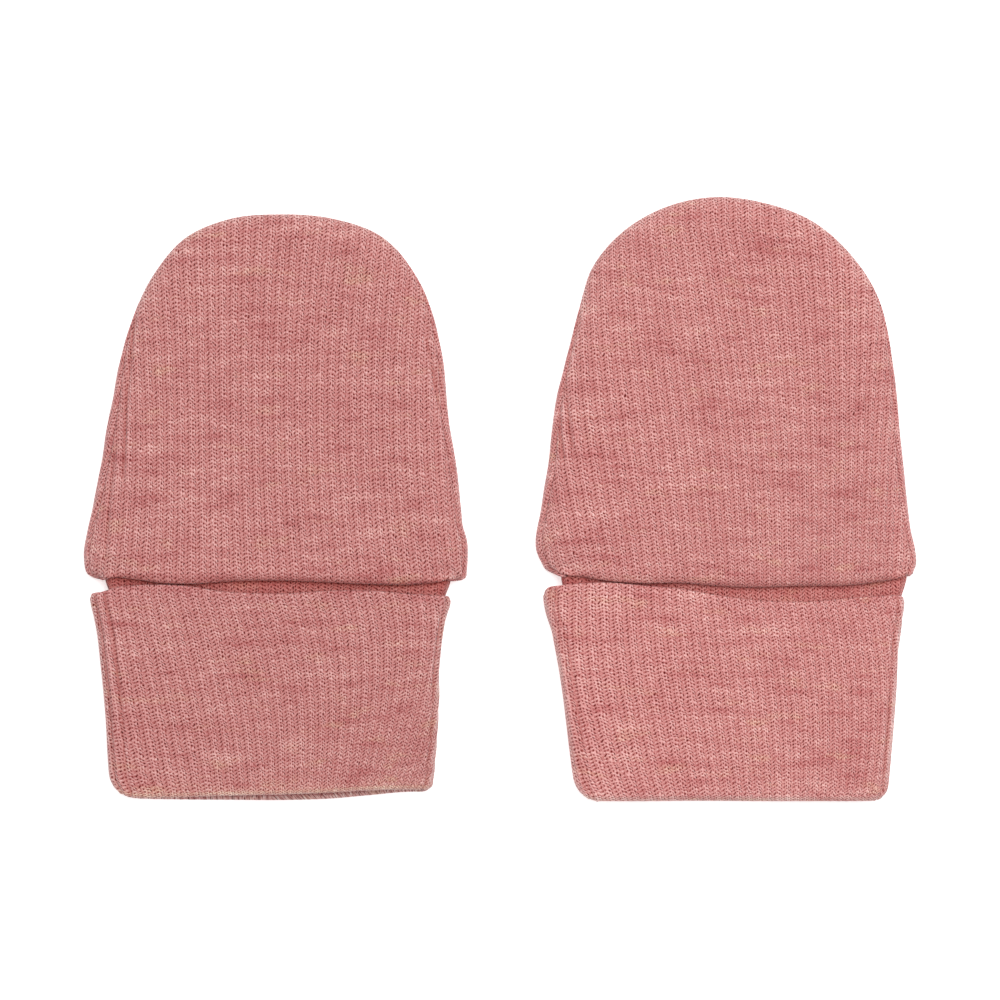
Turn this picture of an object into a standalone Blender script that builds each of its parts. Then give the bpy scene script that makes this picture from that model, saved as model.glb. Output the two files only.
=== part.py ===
"""A pair of rib-knit wool baby mittens, laid flat side by side.

Each mitten is a thumbless bag for the hand, cut as a front and a back panel, and one long rib tube sewn
to its wrist and turned up on itself as the cuff. The back panel is the wider one: it rolls round the
sides, so the side seams lie a little way in on the front. The wrist end of the tube runs up between
the two panels, and its turned-up half lies over it, front and back.

Metres, +Z up, fingertips towards +Y. The table is at Z = 0, below the middle of the pair.
"""

import bpy
import numpy as np

MM = 0.001

WALL = 1.0 * MM  # the rib cloth, lying loose
GAP = 0.3 * MM  # between two layers or pieces that touch
SEAM_GAP = 0.6 * MM  # between a seam's outer edges, which keeps the corners inside them apart

# The cuff is four layers of cloth high: two round the wrist and two turned up over them.
CUFF_LAYERS = 4
CUFF_HEIGHT = CUFF_LAYERS * WALL + (CUFF_LAYERS - 1) * GAP
TUBE_TOP = CUFF_HEIGHT - WALL - GAP  # the top of the tube where it goes into the hand
TUBE_END = 54.0 * MM  # how far up the mitten the tube reaches inside the hand

# The hand's edge is rounded from its flat underside up to the middle of the side, and above that
# it goes on as a quarter of an ellipse up to the crown.
EDGE_RADIUS = 1.35 * MM
WRIST_BASE = TUBE_TOP + GAP  # the front panel's wrist edge, just above the tube
WRIST_REACH = 2.2 * MM  # how far in from its wrist edge the front reaches its full height
SEAM_FADE = 2.6 * MM  # beside the tube, the sides open over this distance to let it out

OUTLINE_STEPS = 2  # stations in each stretch of the outline
# The front's rings turn up from its seam to its crown, and the back's strips from its underside to the
# seam. Both have a narrow one at the seam, so that the cloth's cut edge is square to it.
RIM_TURNS = np.radians([0.0, 4.0, 24.0, 52.0, 90.0])
ROLL_SHARES = np.array([0.0, 0.2, 0.4, 0.6, 0.8, 0.97, 1.0])
CROWN_STEPS = 2  # rings of the front panel from its crown to its middle
FLAT_STEPS = 10  # stretches across the cuff's front, and across its back
END_STEPS = 6  # stretches round each side of the cuff
FOLD_STEPS = 6  # stretches round the fold at the cuff's bottom
LAYER_ROWS = np.array([0.0, 0.1, 0.3, 0.6, 0.85, 1.0])  # the cuff's rows, from its edge to its fold


def table(columns, *rows):
    """One array for each named column, from rows in millimetres."""
    return dict(zip(columns.split(), np.array(rows).T * MM))


# Sizes are across from the mitten's middle line and up from the fold at its bottom.
LEFT = {
    "name": "left",
    "place": (-49.63 * MM, -66.88 * MM),
    # The hand's edge, from the wrist's left corner over the fingertips to its right corner.
    "outline": table(
        "across up",
        (-38.4, 48.9), (-41.8, 50.2), (-42.8, 54.0), (-40.3, 68.0), (-36.7, 87.6),
        (-33.2, 103.5), (-27.1, 116.9), (-19.8, 124.9), (-9.5, 129.2), (1.0, 130.3),
        (11.5, 129.2), (23.1, 124.9), (31.3, 115.5), (36.4, 100.9), (38.0, 86.0),
        (41.1, 63.6), (42.8, 54.5), (41.8, 49.4), (39.3, 49.0),
    ),
    # The front panel's wrist edge, a wavy fold, between the same two corners.
    "wrist": table(
        "across up",
        (-38.4, 48.9), (-35.8, 49.5), (-32.0, 49.2), (-25.6, 48.3), (-18.9, 48.1), (-9.0, 48.7),
        (1.0, 48.8), (10.0, 48.5), (21.3, 48.0), (29.8, 47.9), (36.0, 48.5), (39.3, 49.0),
    ),
    # How far in from the edge the side seams lie on the front.
    "seam": table(
        "up left right",
        (48.9, 0.9, 0.6), (49.4, 1.1, 3.0), (54.0, 1.3, 3.5), (66.0, 1.9, 2.2), (80.0, 2.4, 2.0),
        (89.0, 1.9, 1.8), (111.0, 0.0, 0.7), (123.0, 0.0, 0.0),
    ),
    # The turned-up cuff's sides, and those of the tube inside it, which is narrower at the wrist.
    "sides": table(
        "up left right tube_left tube_right",
        (0.0, -36.7, 34.5, -36.7, 34.5), (10.0, -37.8, 35.6, -37.8, 35.6),
        (21.0, -38.4, 36.1, -38.4, 36.1), (31.5, -39.3, 36.4, -39.3, 36.4),
        (37.0, -39.8, 37.1, -39.5, 37.1), (41.8, -40.9, 38.2, -38.9, 38.2),
        (43.5, -41.3, 38.7, -38.6, 38.5), (45.5, -41.5, 39.0, -38.6, 39.3),
        (49.0, -41.5, 39.0, -39.7, 40.7), (54.0, -41.5, 39.0, -39.7, 40.7),
    ),
    # The cuff's turned-up edge, which stands higher on the front, and the fold at its bottom.
    "edges": table(
        "across top top_behind fold fold_behind",
        (-40.0, 45.6, 45.0, 0.6, 0.6), (-35.0, 47.0, 45.4, 0.4, 0.3), (-29.0, 47.5, 45.6, 0.3, 0.0),
        (-20.0, 47.3, 45.6, 0.1, -0.2), (-12.0, 46.1, 45.4, 0.0, -0.3), (2.0, 45.6, 45.2, 0.0, -0.4),
        (12.0, 46.2, 45.2, 0.5, -0.2), (21.0, 46.2, 45.3, 1.2, 0.4), (29.0, 45.6, 45.3, 1.8, 1.4),
        (38.0, 45.2, 45.0, 1.8, 1.8),
    ),
    "corners": table(
        "side lift lift_run drop drop_run",
        (-1, 3.0, 7.0, 1.4, 3.0), (1, 2.4, 5.0, 1.2, 2.6),
    ),
    # Soft folds and swells left by how it was laid: their middle, size each way, and height.
    "swells": table(
        "across up half_width half_length rise",
        (-24.0, 66.0, 10.0, 14.0, 0.25), (8.0, 72.0, 7.0, 26.0, 0.2), (22.0, 58.0, 12.0, 7.0, 0.25),
        (-6.0, 104.0, 16.0, 9.0, 0.15),
    ),
}

RIGHT = {
    "name": "right",
    "place": (50.32 * MM, -67.23 * MM),
    "outline": table(
        "across up",
        (-36.6, 50.0), (-39.8, 51.6), (-41.9, 55.2), (-41.2, 65.1), (-38.4, 84.0),
        (-35.0, 100.8), (-29.9, 118.4), (-23.0, 126.4), (-13.5, 132.3), (-3.0, 134.5),
        (8.5, 133.2), (19.2, 129.1), (28.1, 121.1), (34.2, 111.5), (37.2, 95.5),
        (38.8, 78.4), (41.0, 61.0), (42.1, 53.0), (40.8, 50.2),
    ),
    "wrist": table(
        "across up",
        (-36.6, 50.0), (-33.0, 50.2), (-29.0, 49.5), (-25.0, 49.0), (-18.0, 48.6), (-10.1, 48.7),
        (-3.2, 48.1), (5.9, 47.7), (15.0, 48.0), (28.6, 48.3), (36.5, 49.4), (40.8, 50.2),
    ),
    "seam": table(
        "up left right",
        (50.0, 0.9, 0.8), (51.5, 1.3, 1.5), (72.0, 1.6, 1.5), (95.0, 0.9, 0.9), (113.0, 0.0, 0.2),
        (120.0, 0.0, 0.0),
    ),
    "sides": table(
        "up left right tube_left tube_right",
        (0.0, -33.5, 36.0, -33.5, 36.0), (9.0, -34.4, 36.7, -34.4, 36.7),
        (17.0, -35.4, 37.4, -35.4, 37.4), (25.0, -36.6, 37.9, -36.6, 37.9),
        (33.0, -37.9, 38.3, -37.7, 38.3), (38.4, -39.0, 39.0, -37.7, 39.0),
        (43.0, -40.3, 39.7, -37.4, 39.5), (45.5, -40.6, 39.8, -37.3, 40.3),
        (50.0, -40.6, 39.8, -38.1, 41.5), (54.0, -40.6, 39.8, -38.2, 41.5),
    ),
    "edges": table(
        "across top top_behind fold fold_behind",
        (-39.0, 47.4, 45.4, 0.2, 0.2), (-34.0, 48.1, 46.0, 0.0, 0.0), (-26.0, 48.4, 46.2, 0.0, 0.0),
        (-18.0, 47.7, 46.0, 0.1, 0.0), (-10.0, 47.0, 45.8, 0.2, 0.1), (-1.0, 45.4, 45.0, 0.2, 0.1),
        (9.0, 44.3, 44.3, 0.1, 0.0), (19.0, 44.2, 44.2, 0.0, 0.0), (29.0, 45.1, 44.8, 0.0, 0.0),
        (38.0, 45.8, 45.0, 0.2, 0.2),
    ),
    "corners": table(
        "side lift lift_run drop drop_run",
        (-1, 3.2, 7.0, 1.8, 3.0), (1, 2.6, 5.0, 1.4, 2.6),
    ),
    "swells": table(
        "across up half_width half_length rise",
        (-20.0, 62.0, 12.0, 10.0, 0.25), (18.0, 68.0, 10.0, 18.0, 0.2), (-4.0, 92.0, 8.0, 22.0, 0.15),
        (10.0, 112.0, 18.0, 8.0, 0.15),
    ),
}

# The hand is fullest just above the wrist and thins towards the fingertips.
CROWN = table(
    "up height shoulder",
    (49.0, 6.0, 9.0), (55.0, 5.75, 9.0), (80.0, 5.2, 9.0), (105.0, 4.6, 8.0), (130.0, 4.1, 6.0),
)

# The middle of the hand, which the front panel's rings close in on.
CORE = table("across up", (0.5, 62.0), (0.5, 100.0))


def smooth(points, steps):
    """Points along the cubic through the given ones, with each one's slope taken from its neighbours."""
    spacing = np.linalg.norm(np.diff(points, axis=0), axis=1)
    along = np.concatenate([[0.0], np.cumsum(spacing)])
    slope = np.gradient(points, along, axis=0)
    t = (np.arange(steps) / steps)[:, None]
    stretches = [
        (1 + 2 * t) * (1 - t) ** 2 * points[i] + t**2 * (3 - 2 * t) * points[i + 1]
        + length * (t * (1 - t) ** 2 * slope[i] - t**2 * (1 - t) * slope[i + 1])
        for i, length in enumerate(spacing)
    ]
    return np.vstack(stretches + [points[-1:]])


def columns(rows, *names):
    return np.stack([rows[name] for name in names], axis=-1)


def distance(points, line):
    """How far each point is from a line of straight stretches."""
    start, run = line[:-1], np.diff(line, axis=0)
    offset = points[..., None, :] - start
    share = np.clip((offset * run).sum(-1) / (run**2).sum(-1), 0.0, 1.0)
    return np.linalg.norm(offset - share[..., None] * run, axis=-1).min(-1)


def toward_core(points):
    """For each point, the nearest point of the hand's middle line, and the direction to it."""
    low, high = columns(CORE, "across", "up")
    middle = np.stack([np.full(len(points), low[0]), np.clip(points[:, 1], low[1], high[1])], axis=-1)
    away = middle - points
    return middle, away / np.linalg.norm(away, axis=1)[:, None]


def crown(up):
    """The hand's full height, and how far in from its edge it gets there."""
    return np.interp(up, CROWN["up"], CROWN["height"]), np.interp(up, CROWN["up"], CROWN["shoulder"])


def beside_tube(mitten, plan):
    """How far a point is to the left or right of the flat middle of the tube inside the hand."""
    sides = mitten["sides"]
    left = np.interp(plan[..., 1], sides["up"], sides["tube_left"]) + CUFF_HEIGHT / 2
    right = np.interp(plan[..., 1], sides["up"], sides["tube_right"]) - CUFF_HEIGHT / 2
    return np.maximum(left - plan[..., 0], plan[..., 0] - right)


def top_height(mitten, plan, edge):
    """The top of the hand by its sides: an ellipse from edge to crown, and clear of the tube's sides."""
    height, shoulder = crown(plan[..., 1])
    share = np.clip(1 - distance(plan, edge) / shoulder, 0, 1)
    side = EDGE_RADIUS + (height - EDGE_RADIUS) * np.sqrt(1 - share**2)
    half = CUFF_HEIGHT / 2
    beside = np.clip(beside_tube(mitten, plan), 0, half)
    covered = (beside < half) & (plan[..., 1] < TUBE_END)
    return np.maximum(side, np.where(covered, half + np.sqrt(half**2 - beside**2), 0))


def hand_edge(mitten):
    """The stations along the hand's edge: where each is, the way in, its seam's turn and its opening."""
    edge = smooth(columns(mitten["outline"], "across", "up"), OUTLINE_STEPS)
    middle, inward = toward_core(edge)
    height, shoulder = crown(edge[:, 1])
    seam = mitten["seam"]
    inset = np.where(
        edge[:, 0] < 0, np.interp(edge[:, 1], seam["up"], seam["left"]),
        np.interp(edge[:, 1], seam["up"], seam["right"]),
    )
    turn = np.arccos(1 - inset / shoulder)
    speed = np.hypot(shoulder * np.sin(turn), (height - EDGE_RADIUS) * np.cos(turn))
    tube_radius = CUFF_HEIGHT / 2 - WALL - GAP
    clear = np.maximum(beside_tube(mitten, edge) - tube_radius, edge[:, 1] - TUBE_END)
    return {
        "at": edge, "middle": middle, "inward": inward, "shoulder": shoulder,
        "turn": turn, "gap": SEAM_GAP / speed, "closed": np.clip(clear / SEAM_FADE, 0.0, 1.0),
    }


def edge_inset(stations, turn):
    """How far in from the hand's edge its section is, at a turn down (below 0) or up from the edge."""
    return np.where(turn < 0, EDGE_RADIUS, stations["shoulder"]) * (1 - np.cos(turn))


def swell(mitten, plan):
    """The height of the soft folds, each a smooth round or long mound."""
    total = np.zeros(plan.shape[:-1])
    rows = columns(mitten["swells"], "across", "up", "half_width", "half_length", "rise")
    for across, up, half_width, half_length, rise in rows:
        away = ((plan[..., 0] - across) / half_width) ** 2 + ((plan[..., 1] - up) / half_length) ** 2
        total += rise * np.exp(-away)
    return total


def front_height(mitten, plan, edge, wrist):
    """How high the front panel lies over each point of the plan."""
    height, shoulder = crown(plan[..., 1])
    from_wrist = distance(plan, wrist)
    share = np.clip(1 - from_wrist / WRIST_REACH, 0, 1)
    ends = WRIST_BASE + (height - WRIST_BASE) * np.sqrt(1 - share**2)
    inside = np.clip(np.minimum(distance(plan, edge), from_wrist) / shoulder, 0.0, 1.0)
    return np.minimum(top_height(mitten, plan, edge), ends) + swell(mitten, plan) * inside


def grid_faces(rows, count, ring):
    """Four-cornered faces between neighbouring rows of points, turned to face up or outwards."""
    row, column = np.meshgrid(np.arange(rows - 1), np.arange(count if ring else count - 1), indexing="ij")
    beside = (column + 1) % count
    here, above = row * count, (row + 1) * count
    corners = [here + column, above + column, above + beside, here + beside]
    return np.stack(corners, axis=-1).reshape(-1, 4).tolist()


def hand_front(mitten):
    """Rings from the seam and the wrist edge in to the crown, and one flat face in the middle."""
    stations = hand_edge(mitten)
    edge = stations["at"]
    wrist = columns(mitten["wrist"], "across", "up")[::-1]
    between = wrist[1:-1]
    wrist_middle, wrist_inward = toward_core(between)

    start = edge_inset(stations, stations["turn"] + stations["gap"])
    # Towards the wrist's corners the edge's rings draw together, as those of the wrist do.
    above = np.maximum(edge[:, 1] - edge[[0, -1], 1].min(), 0.0)
    full = np.maximum(np.minimum(stations["shoulder"], WRIST_REACH + 1.6 * above), start + WALL)
    start = np.concatenate([start, np.zeros(len(between))])
    full = np.concatenate([full, np.full(len(between), WRIST_REACH)])
    outer = np.vstack([edge, between])
    middle = np.vstack([stations["middle"], wrist_middle])
    inward = np.vstack([stations["inward"], wrist_inward])

    into = start + (full - start) * (1 - np.cos(RIM_TURNS[:, None]))
    rim = outer + inward * into[..., None]
    share = (np.arange(1, CROWN_STEPS + 1) / (CROWN_STEPS + 1))[:, None, None]
    plan = np.concatenate([rim, rim[-1] + (middle - rim[-1]) * share])

    height = front_height(mitten, plan, edge, wrist)
    points = np.concatenate([plan, height[..., None]], axis=-1)
    rows, count = points.shape[:2]
    middle_face = [(rows - 1) * count + i for i in reversed(range(count))]
    return points.reshape(-1, 3), grid_faces(rows, count, ring=True) + [middle_face]


def hand_back(mitten):
    """One flat face on the table, and strips that roll from it round the edge to the seam."""
    stations = hand_edge(mitten)
    lowest = -np.pi / 2
    opened = -np.pi / 3  # where the tube comes out, the strips stop below it
    end = opened + (stations["turn"] - stations["gap"] / 2 - opened) * stations["closed"]
    turn = lowest + (end - lowest) * ROLL_SHARES[:, None]
    plan = stations["at"] + stations["inward"] * edge_inset(stations, turn)[..., None]
    under = EDGE_RADIUS * (1 + np.sin(turn))
    height = np.where(turn < 0, under, top_height(mitten, plan, stations["at"]))
    points = np.concatenate([plan, height[..., None]], axis=-1)
    rows, count = points.shape[:2]
    return points.reshape(-1, 3), grid_faces(rows, count, ring=False) + [list(range(count))]


def tube_stations():
    """Round the tube: across its front, round its right side, back behind it and round its left side.

    Gives each station's share of the flat half-width, its angle up from the table's plane, and whether
    it is on the front: 1 there, 0 behind, and between them round the sides.
    """
    flat = np.sin(np.linspace(-np.pi / 2, np.pi / 2, FLAT_STEPS + 1))
    side = np.linspace(np.pi / 2, -np.pi / 2, END_STEPS + 1)[1:-1]
    share = np.concatenate([flat, np.ones(len(side)), flat[::-1], -np.ones(len(side))])
    top = np.full(len(flat), np.pi / 2)
    angle = np.concatenate([top, side, -top, side[::-1]])
    return share, angle, (1 + np.sin(angle)) / 2


def cuff_edge(mitten, level, name, corner):
    """How far up one edge of the cuff is at each station, and how its corners round it off."""
    share, angle, front = tube_stations()
    sides, edges, corners = mitten["sides"], mitten["edges"], mitten["corners"]
    left, right = (np.interp(level, sides["up"], sides[name]) for name in ("left", "right"))
    half = CUFF_HEIGHT / 2
    flat_half = (right - left) / 2 - half
    across = (left + right) / 2 + share * flat_half
    shown, behind = (
        np.interp(across, edges["across"], edges[column]) for column in (name, name + "_behind")
    )
    # Measured round the tube from the middle of its side, where the corner is at its full amount.
    round_side = half * np.abs(angle) + (1 - np.abs(share)) * flat_half
    amount, run = (
        np.where(share > 0, corners[column][1], corners[column][0]) for column in (corner, corner + "_run")
    )
    rounded = amount * (1 + np.cos(np.pi * np.minimum(round_side / run, 1.0))) / 2
    return behind + (shown - behind) * front, rounded


def cuff(mitten):
    """The middle of the tube's wall: down its turned-up layer, round the fold and up to the wrist."""
    share, angle, _ = tube_stations()
    sides = mitten["sides"]
    top, top_corner = cuff_edge(mitten, 45.0 * MM, "top", "drop")
    bottom, bottom_corner = cuff_edge(mitten, 0.0, "fold", "lift")
    top, bottom = top - top_corner, bottom + bottom_corner

    fold_depth = WALL + GAP / 2  # the fold's middle, in from the cuff's outside
    fold_radius = (WALL + GAP) / 2
    centre = bottom + fold_depth
    rows = LAYER_ROWS[:, None]
    turn = np.linspace(0.0, np.pi, FOLD_STEPS + 1)[1:-1, None]
    outer_up = top + (centre - top) * rows
    fold_up = centre - fold_radius * np.sin(turn)
    inner_up = centre + (TUBE_END - centre) * (1 - rows[::-1])
    up = np.concatenate([outer_up, fold_up, inner_up])
    layer = np.ones_like(rows)
    depth = fold_depth + fold_radius * np.concatenate([-layer, -np.cos(turn), layer])

    def side_line(name):
        outer = np.interp(up, sides["up"], sides[name])
        return np.where(depth < fold_depth, outer, np.interp(up, sides["up"], sides["tube_" + name]))

    half = CUFF_HEIGHT / 2
    left, right = side_line("left"), side_line("right")
    flat_half = (right - left) / 2 - half
    x = (left + right) / 2 + share * flat_half + (half - depth) * np.sign(share) * np.cos(angle)
    z = half + (half - depth) * np.sin(angle)
    points = np.stack([x, up, z], axis=-1)
    rows, count = points.shape[:2]
    return points.reshape(-1, 3), grid_faces(rows, count, ring=True)


def wool(name, colour):
    material = bpy.data.materials.new(name)
    material.use_nodes = True
    shader = material.node_tree.nodes["Principled BSDF"]
    shader.inputs["Base Color"].default_value = (*colour, 1.0)
    shader.inputs["Roughness"].default_value = 0.95
    shader.inputs["Metallic"].default_value = 0.0
    return material


def cloth(name, shape, material, place, collection, offset):
    """An open surface made into cloth, with its wall inside it (offset -1) or on both sides of it (0)."""
    points, faces = shape
    mesh = bpy.data.meshes.new(name)
    mesh.from_pydata(points.tolist(), [], faces)
    mesh.shade_smooth()
    mesh.materials.append(material)
    piece = bpy.data.objects.new(name, mesh)
    piece.location = (*place, 0.0)
    collection.objects.link(piece)
    wall = piece.modifiers.new("Cloth", "SOLIDIFY")
    wall.thickness = WALL
    wall.offset = offset


def main():
    for old in list(bpy.data.objects):
        bpy.data.objects.remove(old)
    collection = bpy.data.collections.new("wool_mittens")
    bpy.context.scene.collection.children.link(collection)
    rose = wool("rose_wool_hand", (0.60, 0.25, 0.235))
    cuff_rose = wool("rose_wool_cuff", (0.58, 0.25, 0.232))
    for mitten in (LEFT, RIGHT):
        name, place = mitten["name"], mitten["place"]
        cloth(name + "_hand_back", hand_back(mitten), rose, place, collection, -1.0)
        cloth(name + "_hand_front", hand_front(mitten), rose, place, collection, -1.0)
        cloth(name + "_cuff", cuff(mitten), cuff_rose, place, collection, 0.0)


main()
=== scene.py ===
# %% [markdown]
# # A pair of rib-knit baby mittens
# Two thumbless mittens of melange rose wool lie flat on a pale table. Each is a bag for the hand, sewn
# from a front and a back panel, and one long rib tube that is sewn to the wrist and turned up as a cuff.
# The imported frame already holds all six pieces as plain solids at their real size. This script makes
# the cloth on them: ribs, stitches, seams, soft folds and yarn colours. The frame could be guessed
# again from sizes, but loading it keeps every piece where the solids are.

# %% Load the frame
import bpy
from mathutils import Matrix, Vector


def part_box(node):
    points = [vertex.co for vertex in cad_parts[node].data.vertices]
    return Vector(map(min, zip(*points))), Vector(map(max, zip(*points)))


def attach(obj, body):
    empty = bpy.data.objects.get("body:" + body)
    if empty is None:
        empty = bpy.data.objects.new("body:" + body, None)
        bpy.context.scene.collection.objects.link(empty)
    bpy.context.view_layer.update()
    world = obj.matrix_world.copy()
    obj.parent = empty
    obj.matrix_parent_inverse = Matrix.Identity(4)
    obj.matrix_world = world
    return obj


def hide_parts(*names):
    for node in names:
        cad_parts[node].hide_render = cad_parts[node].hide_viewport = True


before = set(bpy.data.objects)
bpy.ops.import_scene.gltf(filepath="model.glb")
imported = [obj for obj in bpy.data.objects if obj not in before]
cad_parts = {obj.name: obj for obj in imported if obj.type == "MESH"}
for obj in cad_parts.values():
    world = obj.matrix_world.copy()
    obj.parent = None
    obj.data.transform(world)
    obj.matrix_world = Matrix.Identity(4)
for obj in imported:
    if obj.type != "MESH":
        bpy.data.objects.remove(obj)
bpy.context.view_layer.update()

from types import SimpleNamespace

import bpy
import numpy as np

print("nodes:", sorted(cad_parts))

# %% [markdown]
# ## Sizes
# Rib knit is counted in ribs across and courses up. A rib and its groove take about 2.4 mm in this
# fine wool, and a course 0.79 mm, or a little more where the hand is drawn long. These could be typed
# into each material, but the modelled ribs and the drawn stitches have to agree, so they are named
# once here. The heights of the layers come from the frame: a cuff is four walls and three small gaps.

# %% Sizes of the knit and of the layers
MM = 0.001
RIB = 2.4 * MM
COURSE = 0.79 * MM
RELIEF = 0.18 * MM  # from the top of a rib down into the groove beside it
GAP = 0.3 * MM
SHELL = 0.6 * MM  # the hand's cloth as shown, so that it can turn in tightly at a seam

cuff_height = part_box("left_cuff")[1].z
wall = (cuff_height - 3 * GAP) / 4
side_radius = cuff_height / 2  # of the tube's two round sides
tube_top = cuff_height - wall - GAP
tube_end = 54.0 * MM
edge_radius = 1.35 * MM
wrist_base = tube_top + GAP
wrist_reach = 2.4 * MM
print(f"cuff {cuff_height / MM:.1f} mm high, wall {wall / MM:.2f} mm")

# %% [markdown]
# ## The two mittens
# Hand-laid cloth is never quite even, so each mitten has its own short tables: the hand's edge, the
# wavy fold at the wrist, where the side seams run, the cuff's sides and edges, how round its left and
# right corners are, soft swells, and the steep creases beside the sides. They could be curves drawn
# in the viewport, but a table with named columns can be read and changed. The last two tables say
# where three ribs run (the middle one, and those 14 ribs to each side) at three heights, because
# laying the mitten down has bent the ribs a little.

# %% Tables for the left and the right mitten, in millimetres across and up
def table(columns, *rows):
    """One array for each named column, from rows in millimetres."""
    return dict(zip(columns.split(), np.array(rows).T * MM))


LEFT = {
    "name": "left",
    "nudge": 0.0,  # how far the cloth is moved across from its solids
    "corner_rows": (1, 20),  # the rows of the outline where the two corners of the wrist end
    # The next line sets how strong the painted shade under the hand's fold and on its lip is, and how much
    # paler the front of the cuff's fold is in red, green and blue.
    "cloth_offset": (0.0, 0.0), "hand_course": 0.87, "painted_shade_share": 1.0, "fold_pale": (0.2, 0.3, 0.1),
    # Each piece's overall tone; the right mitten's are higher, which paints the brighter light falling on its
    # side.
    "hand_tone_with_painted_light": 0.91,
    "cuff_tone_with_painted_light": 0.90,
    "outline": table(
        "across up",
        (-38.4, 48.9), (-41.8, 50.2), (-42.7, 54.0), (-41.9, 60.0), (-40.2, 68.0), (-36.7, 87.6),
        (-33.1, 103.5), (-27.2, 116.9), (-20.2, 125.0), (-10.2, 129.3), (1.0, 130.3),
        (12.3, 129.4), (23.7, 125.2), (31.7, 115.6), (36.65, 100.9), (38.3, 86.0),
        (40.0, 75.0), (41.25, 65.0), (41.6, 61.0), (42.5, 57.5), (42.6, 54.0), (42.4, 51.0),
        (42.1, 49.4), (41.3, 48.95), (39.3, 48.85),
    ),
    "wrist": table(
        "across up",
        (-38.4, 48.9), (-35.8, 49.5), (-32.0, 49.2), (-25.6, 48.3), (-18.9, 48.1), (-9.0, 48.7),
        (1.0, 48.8), (10.0, 48.5), (21.3, 48.0), (29.8, 47.9), (36.0, 48.5), (39.3, 48.85),
    ),
    "seam": table(
        "up left right",
        (48.9, 0.9, 0.9), (54.0, 1.3, 1.3), (66.0, 1.7, 1.5), (80.0, 1.9, 1.6), (89.0, 1.7, 1.5),
        (111.0, 0.0, 0.7), (123.0, 0.0, 0.0),
    ),
    "sides": table(
        "up left right tube_left tube_right",
        (0.0, -36.7, 34.6, -36.7, 34.6), (10.0, -37.5, 35.6, -37.5, 35.6),
        (21.0, -38.15, 36.3, -38.15, 36.3), (31.5, -39.15, 36.55, -39.15, 36.55),
        (37.0, -39.75, 37.15, -39.5, 37.15), (41.8, -40.75, 38.25, -38.8, 38.25),
        (43.5, -41.2, 38.7, -38.4, 38.4), (45.5, -41.4, 38.9, -38.2, 39.0),
        (49.0, -41.4, 38.9, -39.2, 40.2), (54.0, -41.4, 38.9, -39.4, 40.4),
    ),
    "edges": table(
        "across top top_behind fold fold_behind",
        (-40.0, 45.6, 45.0, 0.7, 0.7), (-35.0, 47.0, 45.4, 0.7, 0.6), (-29.0, 47.5, 45.6, 0.7, 0.35),
        (-20.0, 47.3, 45.6, 0.8, 0.2), (-12.0, 46.1, 45.4, 1.1, 0.15), (2.0, 45.6, 45.2, 1.4, 0.1),
        (12.0, 46.2, 45.2, 1.8, 0.4), (21.0, 46.2, 45.3, 2.3, 1.2), (29.0, 45.6, 45.3, 2.5, 1.9),
        (38.0, 45.0, 44.9, 2.3, 1.8),
    ),
    "corners": table(
        "top fold",
        (0.8, 5.6), (0.9, 1.9),
    ),
    # The side (-1 is left), and how far in from it the crease is at the fold and at the edge, in mm.
    "cuff_creases": ((-1, 1.25, 1.2), (-1, 4.0, 3.5), (1, 1.8, 0.85)),
    "swells": table(
        "across up half_width half_length rise",
        (-24.0, 66.0, 10.0, 14.0, 0.25), (8.0, 72.0, 7.0, 26.0, 0.2), (22.0, 58.0, 12.0, 7.0, 0.25),
        (-6.0, 104.0, 16.0, 9.0, 0.15),
    ),
    "creases": (
        table("up across", (70.0, -34.0), (90.0, -33.0), (101.0, -32.0), (112.0, -30.5)),
        table("up across", (52.0, -38.0), (66.0, -37.0), (80.0, -35.5)),
        table("up across", (78.0, 38.5), (91.0, 35.5), (105.0, 33.0)),
    ),
    "hand_ribs": table(
        "up far_left middle far_right",
        (50.0, -34.5, 1.5, 36.5), (90.0, -33.0, 0.0, 34.0), (128.0, -38.5, 1.5, 36.5),
    ),
    "cuff_ribs": table(
        "up far_left middle far_right",
        (0.0, -36.0, 1.0, 26.0), (23.0, -39.0, 0.0, 33.0), (46.0, -42.0, -5.0, 34.5),
    ),
}

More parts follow.
